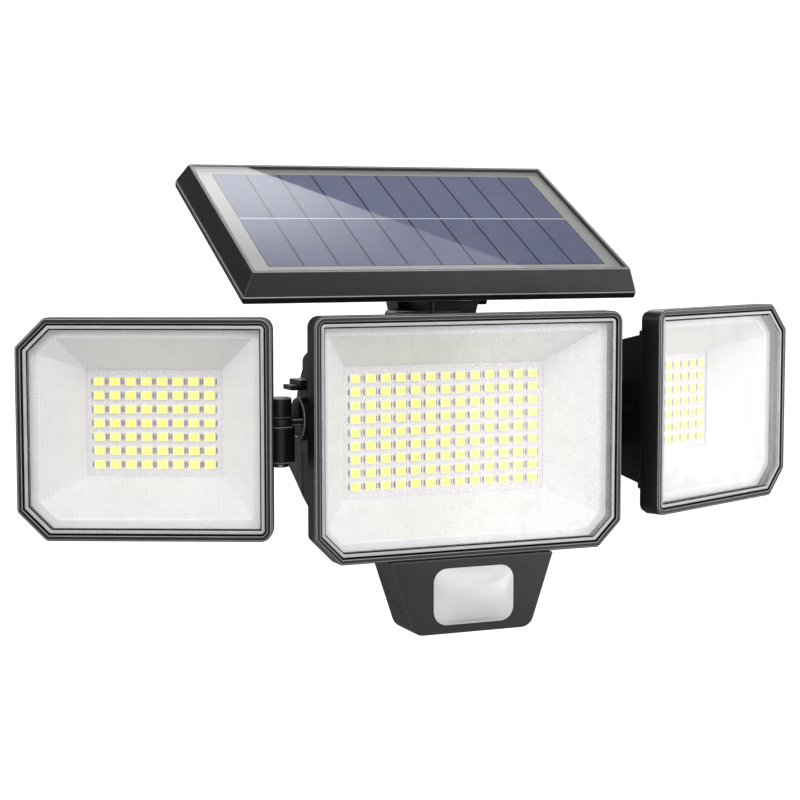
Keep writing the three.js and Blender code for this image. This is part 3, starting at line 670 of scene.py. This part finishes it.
def led_shape(count, pitch):
    """Surface-mount lamps: slot 0 packages, slot 1 phosphor, slot 2 solder pads."""
    shape = Shape()
    top = BOARD_FRONT - 0.9
    for x, z in grid(count, pitch):
        body = rectangle(x - 2.85, x + 2.85, z - 2.3, z + 2.3, 0.3, 1)
        shape.sweep(body, [(0.0, BOARD_FRONT + 0.1), (0.0, top + 0.1), (0.1, top)], slot=0)
        glow = rectangle(x - 2.5, x + 2.5, z - 2.0, z + 2.0, 0.5, 2)
        shape.sweep(glow, [(0.0, top + 0.2), (0.05, top - 0.03), (0.5, top - 0.08)], slot=1)
        for side in (-1, 1):
            middle = x + side * 3.3
            pad = rectangle(middle - 0.45, middle + 0.45, z - 1.5, z + 1.5, 0.3, 1)
            shape.sweep(pad, [(0.0, BOARD_FRONT + 0.05), (0.1, BOARD_FRONT - 0.12),
                              (0.35, BOARD_FRONT - 0.2)], slot=2)
    return shape


def board_shape(well):
    half_width, half_height = well[0] / 2 + 3, well[1] / 2 + 3
    outline = rectangle(-half_width, half_width, -half_height, half_height, 1)
    return Shape().block(outline, BOARD_FRONT, BOARD_FRONT + 1.6, edge=0.15)


def make_lamp(prefix, place, body, outline, well, count, pitch):
    finer(f"{prefix}_bezel", bezel_shape(outline), place, [BLACK, PAINTED_EDGE_HIGHLIGHT, PAINTED_SHADE_AND_GAP_BLACK], body)
    finer(f"{prefix}_lens", lens_shape(outline), place, [LENS, RIM, PAINTED_SHADE_AND_GAP_BLACK], body)
    finer(f"{prefix}_reflector", reflector_shape(outline, well), place, [WHITE], body, sharp=20)
    piece(f"{prefix}_board_fine", board_shape(well), place, [LAMP_BOARD], body,
          [f"{prefix}_led_board"])
    piece(f"{prefix}_leds", led_shape(count, pitch), place, [PACKAGE, PHOSPHOR, SOLDER],
          body)


center_outline = head_outline(CENTER_SIZE, CENTER_CUT, ("bl", "br"))
side_outline = head_outline(SIDE_SIZE, SIDE_CUT, ("bl", "tl"))
make_lamp("center", LIGHT, "main_body", center_outline, CENTER_WELL, (13, 9), (8.14, 6.71))
for side, flip in SIDES.items():
    make_lamp(side, flip @ LEFT_HEAD, f"{side}_head", side_outline, SIDE_WELL, (8, 7),
              (7.66, 6.72))


# ------------------------------------------------------------------ side head housings

def side_housing_shape():
    shape = Shape()
    x, y = BARREL_IN_HEAD
    shell = rounded_profile([
        (24, 39), (19.5, 39), (16.6, 36), (13.6, 22.2), (11.6, 21.6), (9.4, 12.7),
        (0.9, 12.7), (0.9, 10.5), (9.6, 10.5), (15.8, 22), (18.6, 34.6), (21, 36.8), (24, 36.8)],
        [1.2, 2.5, 0.5, 0.5, 0.4, 0.6, 0.4, 0.4, 0.4, 1, 1])
    shape.sweep(side_outline, shell)
    for i in range(5):
        rib = -24 + 12 * i
        shape.block(rectangle(-36, 30, rib - 1, rib + 1, 0.9), 38.5, 39.8, edge=0.4)
    for low, high, radius in ((9, 19, 6), (-12.9, 5.3, 7.5)):
        z_low, z_high = low - SIDE_RAISE, high - SIDE_RAISE
        shape.block(disc(x, y, radius), z_low, z_high, "z", 0.7, painted_highlight_slot=1)
        lug = rectangle(38, x, y - min(radius, 6) + 0.6, y + 3.6, 0.8)
        shape.block(lug, z_low + 0.6, z_high - 0.6, "z", 0.5)
    ramp = filleted([(38, 11.5), (x - 6.5, 11.5), (x - 10, 14), (38, 14)], [0.4] * 4)
    shape.block(ramp, y - 4, y + 3, "y", 0.5)
    return shape


def arm_shape():
    """The left arm: tilt disc with a raised rim, plate, hinge eye and rib."""
    shape = Shape()
    y = HINGE_Y
    rim = rounded_profile([
        (0, -DISC["inner"]), (0, -DISC["outer"] + 0.4), (0.5, -DISC["outer"]),
        (1.6, -DISC["outer"]), (2.1, -DISC["outer"] + 0.7), (6, -DISC["outer"] + 0.7)],
        [0.3, 0.2, 0.2, 0.2])
    shape.sweep(disc(y, DISC["z"], DISC["radius"], 64), rim, "x", painted_highlight_slot=1)
    low, high = KNUCKLE_GAP[0] + 0.3, KNUCKLE_GAP[1] - 0.3
    shape.block(disc(-HINGE_X, y, 8.2, 56), low, high, "z", 0.4)
    shape.block(rectangle(-HINGE_X, -DISC["outer"] + 1, y - 7, y + 7, 0.6), low, high, "z", 0.6,
                painted_highlight_slot=1)
    rib = filleted([(-81.6, high - 0.4), (-78.6, high - 0.4), (-78.6, 17.4), (-79.8, 17.4)],
                   [0.3] * 4)
    shape.block(rib, y - 4, y + 4, "y", 0.6)
    return shape


for side, flip in SIDES.items():
    finer(f"{side}_housing", side_housing_shape(), flip @ LEFT_HEAD, [BLACK, PAINTED_EDGE_HIGHLIGHT],
          f"{side}_head")
    piece(f"{side}_arm_fine", arm_shape(), flip @ LIGHT, [BLACK, PAINTED_EDGE_HIGHLIGHT], f"{side}_arm",
          [f"{side}_hinge_arm"])


# ------------------------------------------------------------------ main body

def section(y, half_width, high, low, corner=4.0):
    corner = min(corner, (high - low) / 2.2)
    outline = rectangle(-half_width, half_width, low, high, corner, 5)
    return [(p.x, y, p.y) for p in outline()]


def main_housing_shape():
    shape = Shape()
    flange = rounded_profile([(0.9, 12.7), (0.9, 10.5), (7.2, 10.5), (7.2, 12.7)], 0.5)
    shape.sweep(center_outline, flange, loop=True)
    outer = [(11, 77, 52.6, -52.6), (12.8, 77, 52.6, -52.6), (23.4, 72.3, 48.2, -46.9),
             (24.6, 72, 47.8, -46.3), (39.4, 72, 42.6, -38.8), (40.2, 72, 42.2, -38.4),
             (46, 72, 39.6, -35.4), (46.4, 71.6, 39.1, -34.9)]
    inner = [(y, x - HOUSING_WALL, high - HOUSING_WALL, low + HOUSING_WALL)
             for y, x, high, low in reversed(outer)]
    shape.rings([section(*line) for line in outer + inner], loop=True)
    shape.block(rectangle(-60, 60, -36, 39, 2), 37, 39.4, edge=0.3)
    tower = [(18, 47.5), (44, 39.5), (56, 37), (78, 49), (78, 55.7), (18, 55.7)]
    shape.block(filleted(tower, [1.5] * 6, 4), -25, 25, "x", 1.2)
    for side in (-1, 1):
        def out(near, far, side=side):
            return sorted((side * near, side * far))
        shape.block(rectangle(21, 46, -9, 24, 1.5), *out(70, 73.6), "x", 0.5)
        shape.block(disc(HINGE_Y, DISC["z"], DISC["radius"], 64),
                    *out(72, DISC["inner"] - 0.3), "x", 0.4)
        shape.block(rectangle(27, 43, 24, 27.5, 0.8), *out(70, 80), "x", 0.4)
        shape.block(rectangle(29, 41, 22.5, 25, 0.8), *out(70, 84), "x", 0.4)
    return shape


def rear_cover_shape():
    shape = Shape()
    outer = [(74, 69, -17.4, -21.2), (72.6, 70.2, -15, -22.1), (64.4, 70.8, 3.2, -26.2),
             (55, 71.4, 24.2, -30.9), (54, 71.5, 25.8, -31.4), (47.2, 72, 33.6, -34.8),
             (46.7, 71.5, 33.5, -34.5)]
    inner = [(46.7, 69.8, 31.2, -32.6), (55, 69.2, 21.4, -28.7), (64.4, 68.6, 0, -24)]
    shape.rings([section(*line) for line in outer + inner])
    tongue = filleted([(60, -26), (66, -26), (72, -22), (72, 0), (60, 10)], [0.6] * 5, 3)
    shape.block(tongue, -12, 12, "x", 0.8)
    lug = filleted([(66, -26), (96, -31.6), (98, -8.4), (66, 3)], [1] * 4, 3)
    shape.block(lug, -12, 12, "x", 0.8)
    shape.block(disc(PIVOT["y"], PIVOT["z"], PIVOT["radius"], 64), -12, 12, "x", 0.8)
    return shape


finer("main_housing", main_housing_shape(), LIGHT, [BLACK], "main_body")
finer("rear_cover", rear_cover_shape(), LIGHT, [BLACK], "main_body")


# ------------------------------------------------------------------ motion sensor

def sensor_outline():
    return filleted([(-31.5, SENSOR_BOTTOM), (31.5, SENSOR_BOTTOM), (44, SENSOR_TOP),
                     (-44, SENSOR_TOP)], [7, 7, 0.6, 0.6], 8)


def sensor_housing_shape():
    outline = sensor_outline()
    shape = Shape()
    profile = rounded_profile([
        (6, 0), (0, 0), (0, 24), (4, 32), (8, 32)], [0.6, 0.6, 0.8])
    shape.sweep(outline, profile, painted_highlight_slot=1)
    shape.block(disc(0, BUTTON_Y, 7.2), SENSOR_BOTTOM + 0.1, SENSOR_BOTTOM + 2, "z", 0.1)
    neck = filleted([(13.2, -62.5), (31, -62.5), (31, -43.8), (24, -47.3), (13.2, -52.6)],
                    [0.3] * 5, 2)
    shape.block(neck, -36, 36, "x", 0.8)
    return shape


def sensor_cavity():
    """The housing's hollow, and the hole that the mode button stands in."""
    shape = Shape()
    shape.sweep(sensor_outline(), [(HOUSING_WALL, 2.4), (HOUSING_WALL, 23), (6, 30)])
    shape.block(disc(0, BUTTON_Y, 5.4), SENSOR_BOTTOM - 2, SENSOR_BOTTOM + 6, "z", 0.2)
    return shape


def resampled(points, count):
    """Spaces an outline's points evenly along its length."""
    closed = list(points) + [points[0]]
    lengths = [0.0]
    for p, q in zip(closed, closed[1:]):
        lengths.append(lengths[-1] + (q - p).length)
    result, i = [], 0
    for k in range(count):
        wanted = lengths[-1] * k / count
        while lengths[i + 1] < wanted:
            i += 1
        t = (wanted - lengths[i]) / (lengths[i + 1] - lengths[i])
        result.append(closed[i].lerp(closed[i + 1], t))
    return result


def sensor_lens_shape():
    """A window that bulges smoothly, with a thin flat rim round it."""
    lens = SENSOR_LENS
    half_width, half_height, z = lens["width"] / 2, lens["height"] / 2, lens["z"]
    outline = rectangle(-half_width, half_width, z - half_height, z + half_height, 7, 8)
    edge = [(resampled(outline(inset), 120), depth)
            for inset, depth in ((2, 3), (1.9, 0), (1.9, -0.25), (0, -0.25), (0, -0.6),
                                 (0.25, -0.85), (0.9, -0.85))]
    rings = [[(p.x, depth, p.y) for p in points] for points, depth in edge]
    last, steps = edge[-1][0], 12
    for k in range(1, steps):
        reach = 1 - k / steps
        ring = []
        for p in last:
            x, up = p.x * reach, (p.y - z) * reach
            flat = abs(x / half_width) ** 2.4, abs(up / half_height) ** 2.4
            swell = (1 - flat[0]) * (1 - flat[1])
            ring.append((x, -0.85 - (lens["bulge"] - 0.9) * swell, z + up))
        rings.append(ring)
    return Shape().rings(rings)


def button_shape():
    shape = Shape()
    profile = rounded_profile([(3.4, -98.2), (2.4, -98.6), (0, -98.6), (0, -94)], [0.3, 0.6])
    shape.sweep(disc(0, BUTTON_Y, 5, 48), profile, "z")
    shape.block(disc(0, BUTTON_Y, 6.4, 48), -94.6, -93.6, "z", 0.3)
    return shape


sensor_housing = finer("sensor_housing", sensor_housing_shape(), LIGHT, [BLACK, SOFT_PAINTED_EDGE_HIGHLIGHT],
                       "main_body")
carve(sensor_housing, sensor_cavity(), LIGHT)
finer("sensor_lens", sensor_lens_shape(), LIGHT, [SENSOR_WHITE], "main_body", sharp=60)
finer("mode_button", button_shape(), LIGHT, [RUBBER], "mode_button")


# ------------------------------------------------------------------ solar panel
# Own frame: origin at the centre of the panel's top face, +Z out of the glass.

def panel_outline(spread=0.0, radius=1.0):
    """The corners stay equally tight while the skirt flares."""
    def outline(inset=0.0):
        half_width, half_depth = (length / 2 + spread - inset for length in PANEL_SIZE)
        return rectangle(-half_width, half_width, -half_depth, half_depth, radius, 4)()
    return outline


def tray_shape():
    flare, deep, depth = SKIRT["flare"], SKIRT["flare_depth"], SKIRT["depth"]
    profile = rounded_profile([
        (1.5, -4.6), (1.5, 0), (0, 0), (0.45 - flare, -deep + 0.6), (0.45 - flare, -deep),
        (-flare, -deep), (-flare + 0.35, -depth), (-flare + 2.6, -depth),
        (-flare + 2.6, -6), (1.5, -6),
    ], [0.4, 0.7, 0.1, 0.1, 0.45, 0.45, 0.3, 0.3])
    return Shape().sweep(panel_outline(), profile, "z", loop=True, painted_highlight_slot=1)


def glass_shape():
    return Shape().block(panel_outline(-1.7, 1), -1.5, -0.5, "z", 0.25)


def laminate_shape():
    """Slot 0 is the backing sheet, 1 the cells, 2 the busbar and 3 the gaps between cells."""
    shape = Shape()
    shape.block(panel_outline(-2), -4.3, -1.9, "z", 0.05, slot=0)
    columns, rows = CELL_COUNT
    pitch = (CELL_SPAN[0] / columns, CELL_SPAN[1] / rows)
    gaps = rectangle(-CELL_SPAN[0] / 2, CELL_SPAN[0] / 2, -CELL_SPAN[1] / 2, CELL_SPAN[1] / 2)
    shape.block(gaps, -2.1, -1.85, "z", 0.02, slot=3, steps=1)
    for x, y in grid(CELL_COUNT, pitch):
        half = [(pitch[i] - CELL_GAP[i]) / 2 for i in range(2)]
        cell = rectangle(x - half[0], x + half[0], y - half[1], y + half[1], 0.3, 1)
        shape.block(cell, -2.1, -1.81, "z", 0.02, slot=1, steps=1)
    bar = rectangle(-CELL_SPAN[0] / 2, CELL_SPAN[0] / 2, -0.5, 0.5, 0.2, 1)
    shape.block(bar, -2.0, -1.76, "z", 0.02, slot=2, steps=1)
    return shape


def base_shape():
    """The panel's underside: a plate open at the hinge, two hinge ears and a tab."""
    shape = Shape()
    flare, depth = SKIRT["flare"], SKIRT["depth"]
    y, z = tilt_axis.y, tilt_axis.z
    half_width = PANEL_SIZE[0] / 2 + flare - 2.8
    half_depth = PANEL_SIZE[1] / 2 + flare - 2.8
    strips = [(-half_width, half_width, y + 9.5, half_depth),
              (-half_width, half_width, -half_depth, y - 9.5),
              (-half_width, -7.4, y - 9.6, y + 9.6), (7.4, half_width, y - 9.6, y + 9.6)]
    for left, right, low, high in strips:
        shape.block(rectangle(left, right, low, high, 0.2, 2), -depth, -depth + 2, "z", 0.1)
    for from_x, to_x in ((-13.4, -7.4), (7.4, 13.4)):
        shape.block(disc(y, z, 7.6, 56), from_x, to_x, "x", 0.6)
        ear = rectangle(y - 7.6, y + 7.6, z, -depth + 1, 0.3, 2)
        shape.block(ear, from_x, to_x, "x", 0.4)
    shape.block(rectangle(19.5, 25, y - 20, y - 11, 0.6), -depth - 5, -depth + 0.5, "z", 0.4)
    return shape


def turret_shape():
    """The turntable, a neck in two steps and the eye that the panel tilts on."""
    shape = Shape()
    table = rounded_profile([
        (12, 56), (0, 56), (0, 58), (1.2, 59), (10, 59)], [0.3, 0.5, 0.4])
    shape.sweep(disc(0, TURRET_Y, 22.5, 96), table, "z", painted_highlight_slot=1)
    shape.block(disc(0, TURRET_Y, 7), 46.4, 57, "z", 0.4)
    for left, right, front in ((-9.9, 19, 34), (-14.5, -5.9, 62)):
        outline = rectangle(left, right, front, 80, 1.2, 4)
        rings = []
        for z, inset in ((58, 1.5), (65.5, 0.1), (65.7, 0.2), (66, 0.5)):
            rings.append([(p.x, p.y, min(z, 64.1 + max(0, p.y - 34) * 0.45))
                          for p in outline(inset)])
        shape.rings(rings)
    shape.block(rectangle(-7.4, -6.6, 33.4, 40, 0.3, 2), 58, 63.6, "z", 0.2)
    _, y, z = LIGHT.inverted() @ Vector(JOINTS["panel_tilt"]["pos_m"]) / MM
    shape.block(disc(y, z, 8, 56), -7, 7, "x", 0.5)
    shape.block(rectangle(y - 8, y + 8, 62, z, 0.3, 2), -7, 7, "x", 0.5)
    return shape


finer("panel_tray", tray_shape(), PANEL, [BLACK, PAINTED_EDGE_HIGHLIGHT], "solar_panel")
finer("panel_glass", glass_shape(), PANEL, [GLASS], "solar_panel")
piece("panel_laminate", laminate_shape(), PANEL, [BACKING, SILICON, BUSBAR, PAINTED_SHADE_AND_GAP_BLACK],
      "solar_panel", ["panel_cells"])
finer("panel_base", base_shape(), PANEL, [BLACK], "solar_panel")
finer("panel_turret", turret_shape(), LIGHT, [BLACK, PAINTED_EDGE_HIGHLIGHT], "panel_turret")


# ------------------------------------------------------------------ fasteners

def cross(a, b, reach, half_width, steps=48):
    """A plus-shaped outline with one point for each point of a disc."""
    points = []
    for k in range(steps):
        angle = 2 * math.pi * k / steps
        far, near = sorted((abs(math.cos(angle)), abs(math.sin(angle))), reverse=True)
        length = min(reach / far, half_width / max(near, 0.001))
        points.append((a + length * math.cos(angle), b + length * math.sin(angle)))
    return points


def polygon(a, b, radius, sides, steps=48):
    """A regular polygon's outline, with one point for each point of a disc."""
    def outline(inset=0.0):
        points = []
        for k in range(steps):
            angle = 2 * math.pi * k / steps
            off = (angle % (2 * math.pi / sides)) - math.pi / sides
            length = (radius - inset) * math.cos(math.pi / sides) / math.cos(off)
            points.append((a + length * math.cos(angle), b + length * math.sin(angle)))
        return points
    return outline


def screw_shape(axis, at, tip, neck, crown, radius, head, hexagon=False, thread=8):
    """A threaded shaft from tip to neck and a head whose face is at crown."""
    a, b = at
    way = 1 if crown > neck else -1
    height = abs(crown - neck)
    place = AXES[axis]
    rings = []

    def ring(points, depth):
        rings.append([place(p[0], p[1], depth) for p in points])

    ring(disc(a, b, radius * 0.72)(), tip)
    turns = min(thread, int(abs(neck - tip) / THREAD_PITCH) - 1)
    for k in range(turns):
        crest = tip + way * THREAD_PITCH * (k + 0.5)
        ring(disc(a, b, radius)(), crest)
        ring(disc(a, b, radius * 0.86)(), crest + way * THREAD_PITCH / 2)
    ring(disc(a, b, radius)(), tip + way * THREAD_PITCH * (turns + 0.6))
    ring(disc(a, b, radius)(), neck)
    outline = polygon(a, b, head, 6) if hexagon else disc(a, b, head)
    chamfer = min(0.6, height / 3)
    ring(outline(chamfer / 2), neck)
    ring(outline(0), neck + way * chamfer / 2)
    ring(outline(0), crown - way * chamfer)
    ring(outline(chamfer * 0.4), crown - way * chamfer * 0.3)
    ring(outline(chamfer), crown)
    if not hexagon:
        recess = min(head * 0.55, 3)
        ring(cross(a, b, recess, recess * 0.28), crown)
        ring(cross(a, b, recess * 0.7, recess * 0.2), crown - way * height * 0.6)
    return Shape().rings(rings)


def nut_shape(at, low, high, bore, radius):
    """A hexagon nut with its corners chamfered."""
    rings = []
    for outline, depth in (
            (disc(*at, bore)(), low), (polygon(*at, radius, 6)(0.4), low),
            (polygon(*at, radius, 6)(0), low + 0.5), (polygon(*at, radius, 6)(0), high - 0.5),
            (polygon(*at, radius, 6)(0.4), high), (disc(*at, bore)(), high)):
        rings.append([(depth, p[0], p[1]) for p in outline])
    return Shape().rings(rings, loop=True)


def bracket_shape():
    """A wall plate with two pivot arms, each ribbed where it meets the plate."""
    shape = Shape()
    half, middle, thick = PLATE["width"] / 2, PLATE["z"], PLATE["thickness"]
    plate = rectangle(-half, half, middle - PLATE["height"] / 2, middle + PLATE["height"] / 2, 5)
    shape.block(plate, WALL - thick, WALL, edge=0.9, painted_highlight_slot=1)
    y, z, radius = PIVOT["y"], PIVOT["z"], PIVOT["radius"]
    arm = filleted([(WALL - 16, -38), (WALL - 2, -48), (WALL - 2, 22), (WALL - 16, 8),
                    (y - 0.5, z + radius), (y - radius, z + radius * 0.42),
                    (y - radius, z - radius * 0.42), (y - 0.5, z - radius)],
                   [8, 0.5, 0.5, 8, 9, 8, 8, 9], 6, 0.4)
    for side in (-1, 1):
        shape.block(arm, *sorted((side * FORK[0], side * FORK[1])), "x", 0.6, painted_highlight_slot=1)
        boss = disc(y, z, radius - 2.5)
        out = (side * (FORK[1] - 1), side * (FORK[1] + 0.25))
        shape.block(boss, *sorted(out), "x", 0.2, painted_highlight_slot=1)
    return shape


def bracket_holes():
    """Countersunk holes for the wall screws."""
    shape = Shape()
    for x, z in ((0, 42), (0, -42), (-22, 42), (22, -42)):
        bore = [(0, WALL - 6), (0, WALL - 4.05), (2.4, WALL - 1.8), (2.4, WALL + 1)]
        shape.sweep(disc(x, z + PLATE["z"], 5.0), [(inset - 0.2, y) for inset, y in bore])
    return shape


def knob_shape(low, high):
    """A round knob with finger flutes and a dished face."""
    a, b, radius, flutes, steps = PIVOT["y"], PIVOT["z"], 8.5, 12, 144

    def outline(inset=0.0):
        points = []
        for k in range(steps):
            angle = 2 * math.pi * k / steps
            groove = 0.7 * max(0, math.cos(flutes * angle)) ** 2
            reach = max(radius - inset - groove * max(0, 1 - inset / 3), 0.3)
            points.append((a + reach * math.cos(angle), b + reach * math.sin(angle)))
        return points
    profile = rounded_profile([(5, low), (0, low), (0, high), (3.4, high), (4, high - 1.2),
                               (5.2, high - 1.2)], [0.6, 0.9, 0.3, 0.3])
    return Shape().sweep(outline, profile, "x", painted_highlight_slot=1)


def battery_shape(at):
    """A cell lying along X: wrap in slot 0, bare steel ends in slot 1."""
    low, high, radius = -60, 5, 9.2
    shape = Shape()
    can = rounded_profile([(2, low), (0.15, low), (0.15, high - 4.5), (0.9, high - 3.8),
                           (0.15, high - 3.1), (0.15, high - 1.2), (2, high - 1.2)],
                          [0.5, 0.4, 0.4, 0.4, 0.5])
    shape.sweep(disc(*at, radius, 64), can, "x", slot=1)
    sleeve = [(0, low + 0.4), (0, high - 5)]
    shape.sweep(disc(*at, radius, 64), sleeve, "x", slot=0)
    shape.block(disc(*at, 3.2), high - 2, high, "x", 0.4, slot=1)
    return shape


for i in range(1, 5):
    low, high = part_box(f"cover_screw_{i}")
    middle = LIGHT.inverted() @ ((low + high) / 2) / MM
    finer(f"cover_screw_{i}", screw_shape("y", (middle.x, middle.z), 40.3, 51.3, 53.1, 1.5, 3),
          LIGHT, [STEEL], "main_body")
for i, at in enumerate(((50, 3.8), (51.6, -17))):
    finer(f"battery_cell_{i + 1}", battery_shape(at), LIGHT, [WRAP, STEEL], "main_body")
for side, flip in SIDES.items():
    pin = screw_shape("z", BARREL_IN_HEAD, 18.6 - SIDE_RAISE, -13.2 - SIDE_RAISE,
                      -15 - SIDE_RAISE, 2.4, 4.6)
    piece(f"{side}_pin_fine", pin, flip @ LEFT_HEAD, [STEEL],
          f"{side}_head", [f"{side}_hinge_pin"])
    finer(f"{side}_arm_screw", screw_shape("x", (HINGE_Y, DISC["z"]), -78, -69.4, -66.6, 2, 4.4),
          flip @ LIGHT, [STEEL], f"{side}_arm")
finer("turret_screw", screw_shape("z", (0, TURRET_Y), 54, 45.9, 42.6, 2, 10), LIGHT, [STEEL],
      "panel_turret")
pivot = (PIVOT["y"], PIVOT["z"])
finer("body_tilt_bolt", screw_shape("x", pivot, 26, -19.39, -23.4, 3, 6, True, 12), LIGHT,
      [STEEL], "bracket")
finer("panel_tilt_bolt", screw_shape("x", tilt_axis.yz, 17.4, -13.7, -16.7, 2.5, 4.6, True),
      PANEL, [STEEL], "solar_panel")
finer("panel_tilt_nut", nut_shape(tilt_axis.yz, 13.8, 17, 2.8, 4.6), PANEL, [STEEL],
      "solar_panel")
bracket = finer("wall_bracket", bracket_shape(), LIGHT, [BLACK, PAINTED_EDGE_HIGHLIGHT], "bracket")
carve(bracket, bracket_holes(), LIGHT)
finer("body_tilt_knob", knob_shape(19.3, 26.4), LIGHT, [BLACK, PAINTED_EDGE_HIGHLIGHT], "bracket")


# ------------------------------------------------------------------ carried CAD nodes

CARRIED = {
    "black_plastic": BLACK, "black_rubber": RUBBER, "steel": STEEL, "circuit_board": GREEN,
    "battery_wrap": WRAP, "clear_lens": LENS, "white_reflector": WHITE,
    "led_board": LAMP_BOARD, "solar_cells": SILICON, "panel_glass": GLASS,
    "sensor_white": SENSOR_WHITE,
}
for name, node in frame["nodes"].items():
    node.data.materials.clear()
    node.data.materials.append(CARRIED[SLOT_OF[name]])
    node.data.set_sharp_from_angle(angle=math.radians(35))

# ------------------------------------------------------------------ studio

CAMERA_AT = Vector((-0.39553, -1.00453, 0.11212))
CAMERA_TO = Vector((-0.03914, -0.16, 0.02886))
MIDDLE = (0, -0.15, 0)
SKY = 0.24
camera_data = bpy.data.cameras.new("camera")
camera_data.lens = 86.52
camera_data.sensor_width = 36
camera_data.clip_end = 50
camera = add_object("camera", camera_data)
camera.location = CAMERA_AT
camera.rotation_euler = (CAMERA_TO - CAMERA_AT).to_track_quat("-Z", "Y").to_euler()
bpy.context.scene.camera = camera
bpy.context.scene.view_settings.view_transform = "Standard"


def soft_box(name, at, to, size, brightness):
    """An even rectangular light, its power set by how bright its face looks."""
    data = bpy.data.lights.new(name, "AREA")
    data.shape = "RECTANGLE"
    data.size, data.size_y = size
    data.energy = brightness * math.pi * size[0] * size[1]
    light = add_object(name, data)
    light.location = at
    light.rotation_euler = (Vector(to) - Vector(at)).to_track_quat("-Z", "Y").to_euler()


def glare_card():
    """A bright card whose reflection crosses the panel's glass with a slanting edge."""
    mirrored = PANEL.inverted() @ CAMERA_AT
    mirrored.z = -mirrored.z
    reach = 2.6
    corners = [(-100, 85.2), (100, -114.4), (0, -260), (-330, -160), (-300, 200)]
    seen = [Vector((x * MM, y * MM, 0)) for x, y in corners]
    mesh = bpy.data.meshes.new("glare_card")
    mesh.from_pydata([PANEL @ (mirrored + (p - mirrored) * reach) for p in seen], [],
                     [tuple(range(len(seen)))])
    glow = Nodes("card_glow", (0, 0, 0), 1.0)
    brightest = PANEL @ (mirrored + (Vector((-0.1, 0.06, 0)) - mirrored) * reach)
    away = glow.add("ShaderNodeVectorMath", {"operation": "DISTANCE"})
    glow.feed(away.inputs[0], glow.place())
    away.inputs[1].default_value = brightest
    glow.feed(glow.shader.inputs["Emission Strength"],
              glow.ramp(away.outputs["Value"], 0.06, 0.34, 3.2, 0.75))
    glow.shader.inputs["Emission Color"].default_value = (1, 1, 1, 1)
    mesh.materials.append(glow.material)
    add_object("glare_card", mesh)


def pale_floor():
    """A floor that curves up into a backdrop, lit evenly to the camera."""
    paper = Nodes("studio_paper", (0.22, 0.22, 0.22), 0.9)
    paper.shader.inputs["Emission Color"].default_value = (1, 1, 1, 1)
    paper.feed(paper.shader.inputs["Emission Strength"],
               paper.add("ShaderNodeLightPath").outputs["Is Camera Ray"])
    near, far, half, floor, radius = -3.0, 2.2, 4.0, -0.34, 1.2
    line = [(near, floor), (far - radius, floor)]
    for k in range(1, 13):
        angle = math.radians(90 * k / 12)
        line.append((far - radius + radius * math.sin(angle),
                     floor + radius * (1 - math.cos(angle))))
    line.append((far, 4.0))
    mesh = bpy.data.meshes.new("floor")
    verts = [(x, y, z) for y, z in line for x in (-half, half)]
    faces = [(2 * i, 2 * i + 1, 2 * i + 3, 2 * i + 2) for i in range(len(line) - 1)]
    mesh.from_pydata(verts, [], faces)
    mesh.materials.append(paper.material)
    mesh.polygons.foreach_set("use_smooth", [True] * len(mesh.polygons))
    add_object("floor", mesh)


pale_floor()
glare_card()
world = bpy.data.worlds.new("studio")
bpy.context.scene.world = world
world.use_nodes = True
world.node_tree.nodes["Background"].inputs["Color"].default_value = (1, 1, 1, 1)
sky = world.node_tree.nodes["Background"].inputs["Strength"]
seen = world.node_tree.nodes.new("ShaderNodeLightPath").outputs["Is Camera Ray"]
dim = world.node_tree.nodes.new("ShaderNodeMapRange")
dim.inputs["To Min"].default_value = SKY
world.node_tree.links.new(seen, dim.inputs["Value"])
world.node_tree.links.new(dim.outputs["Result"], sky)
soft_box("front", (-0.1, -2.4, 1.0), MIDDLE, (3.2, 2.2), 1.6)
soft_box("key", (-1.2, -2.1, 1.5), MIDDLE, (1.6, 1.6), 3.4)
soft_box("right", (2.2, -0.9, 0.3), MIDDLE, (1.6, 1.6), 2.8)
soft_box("low right", (0.95, -1.2, -0.2), (0.05, -0.15, 0), (0.9, 0.6), 3.1)
soft_box("left", (-2.2, -0.3, 0.4), MIDDLE, (1.6, 1.6), 2.4)
soft_box("back", (0.4, 1.9, 1.5), MIDDLE, (2.6, 1.2), 4.5)
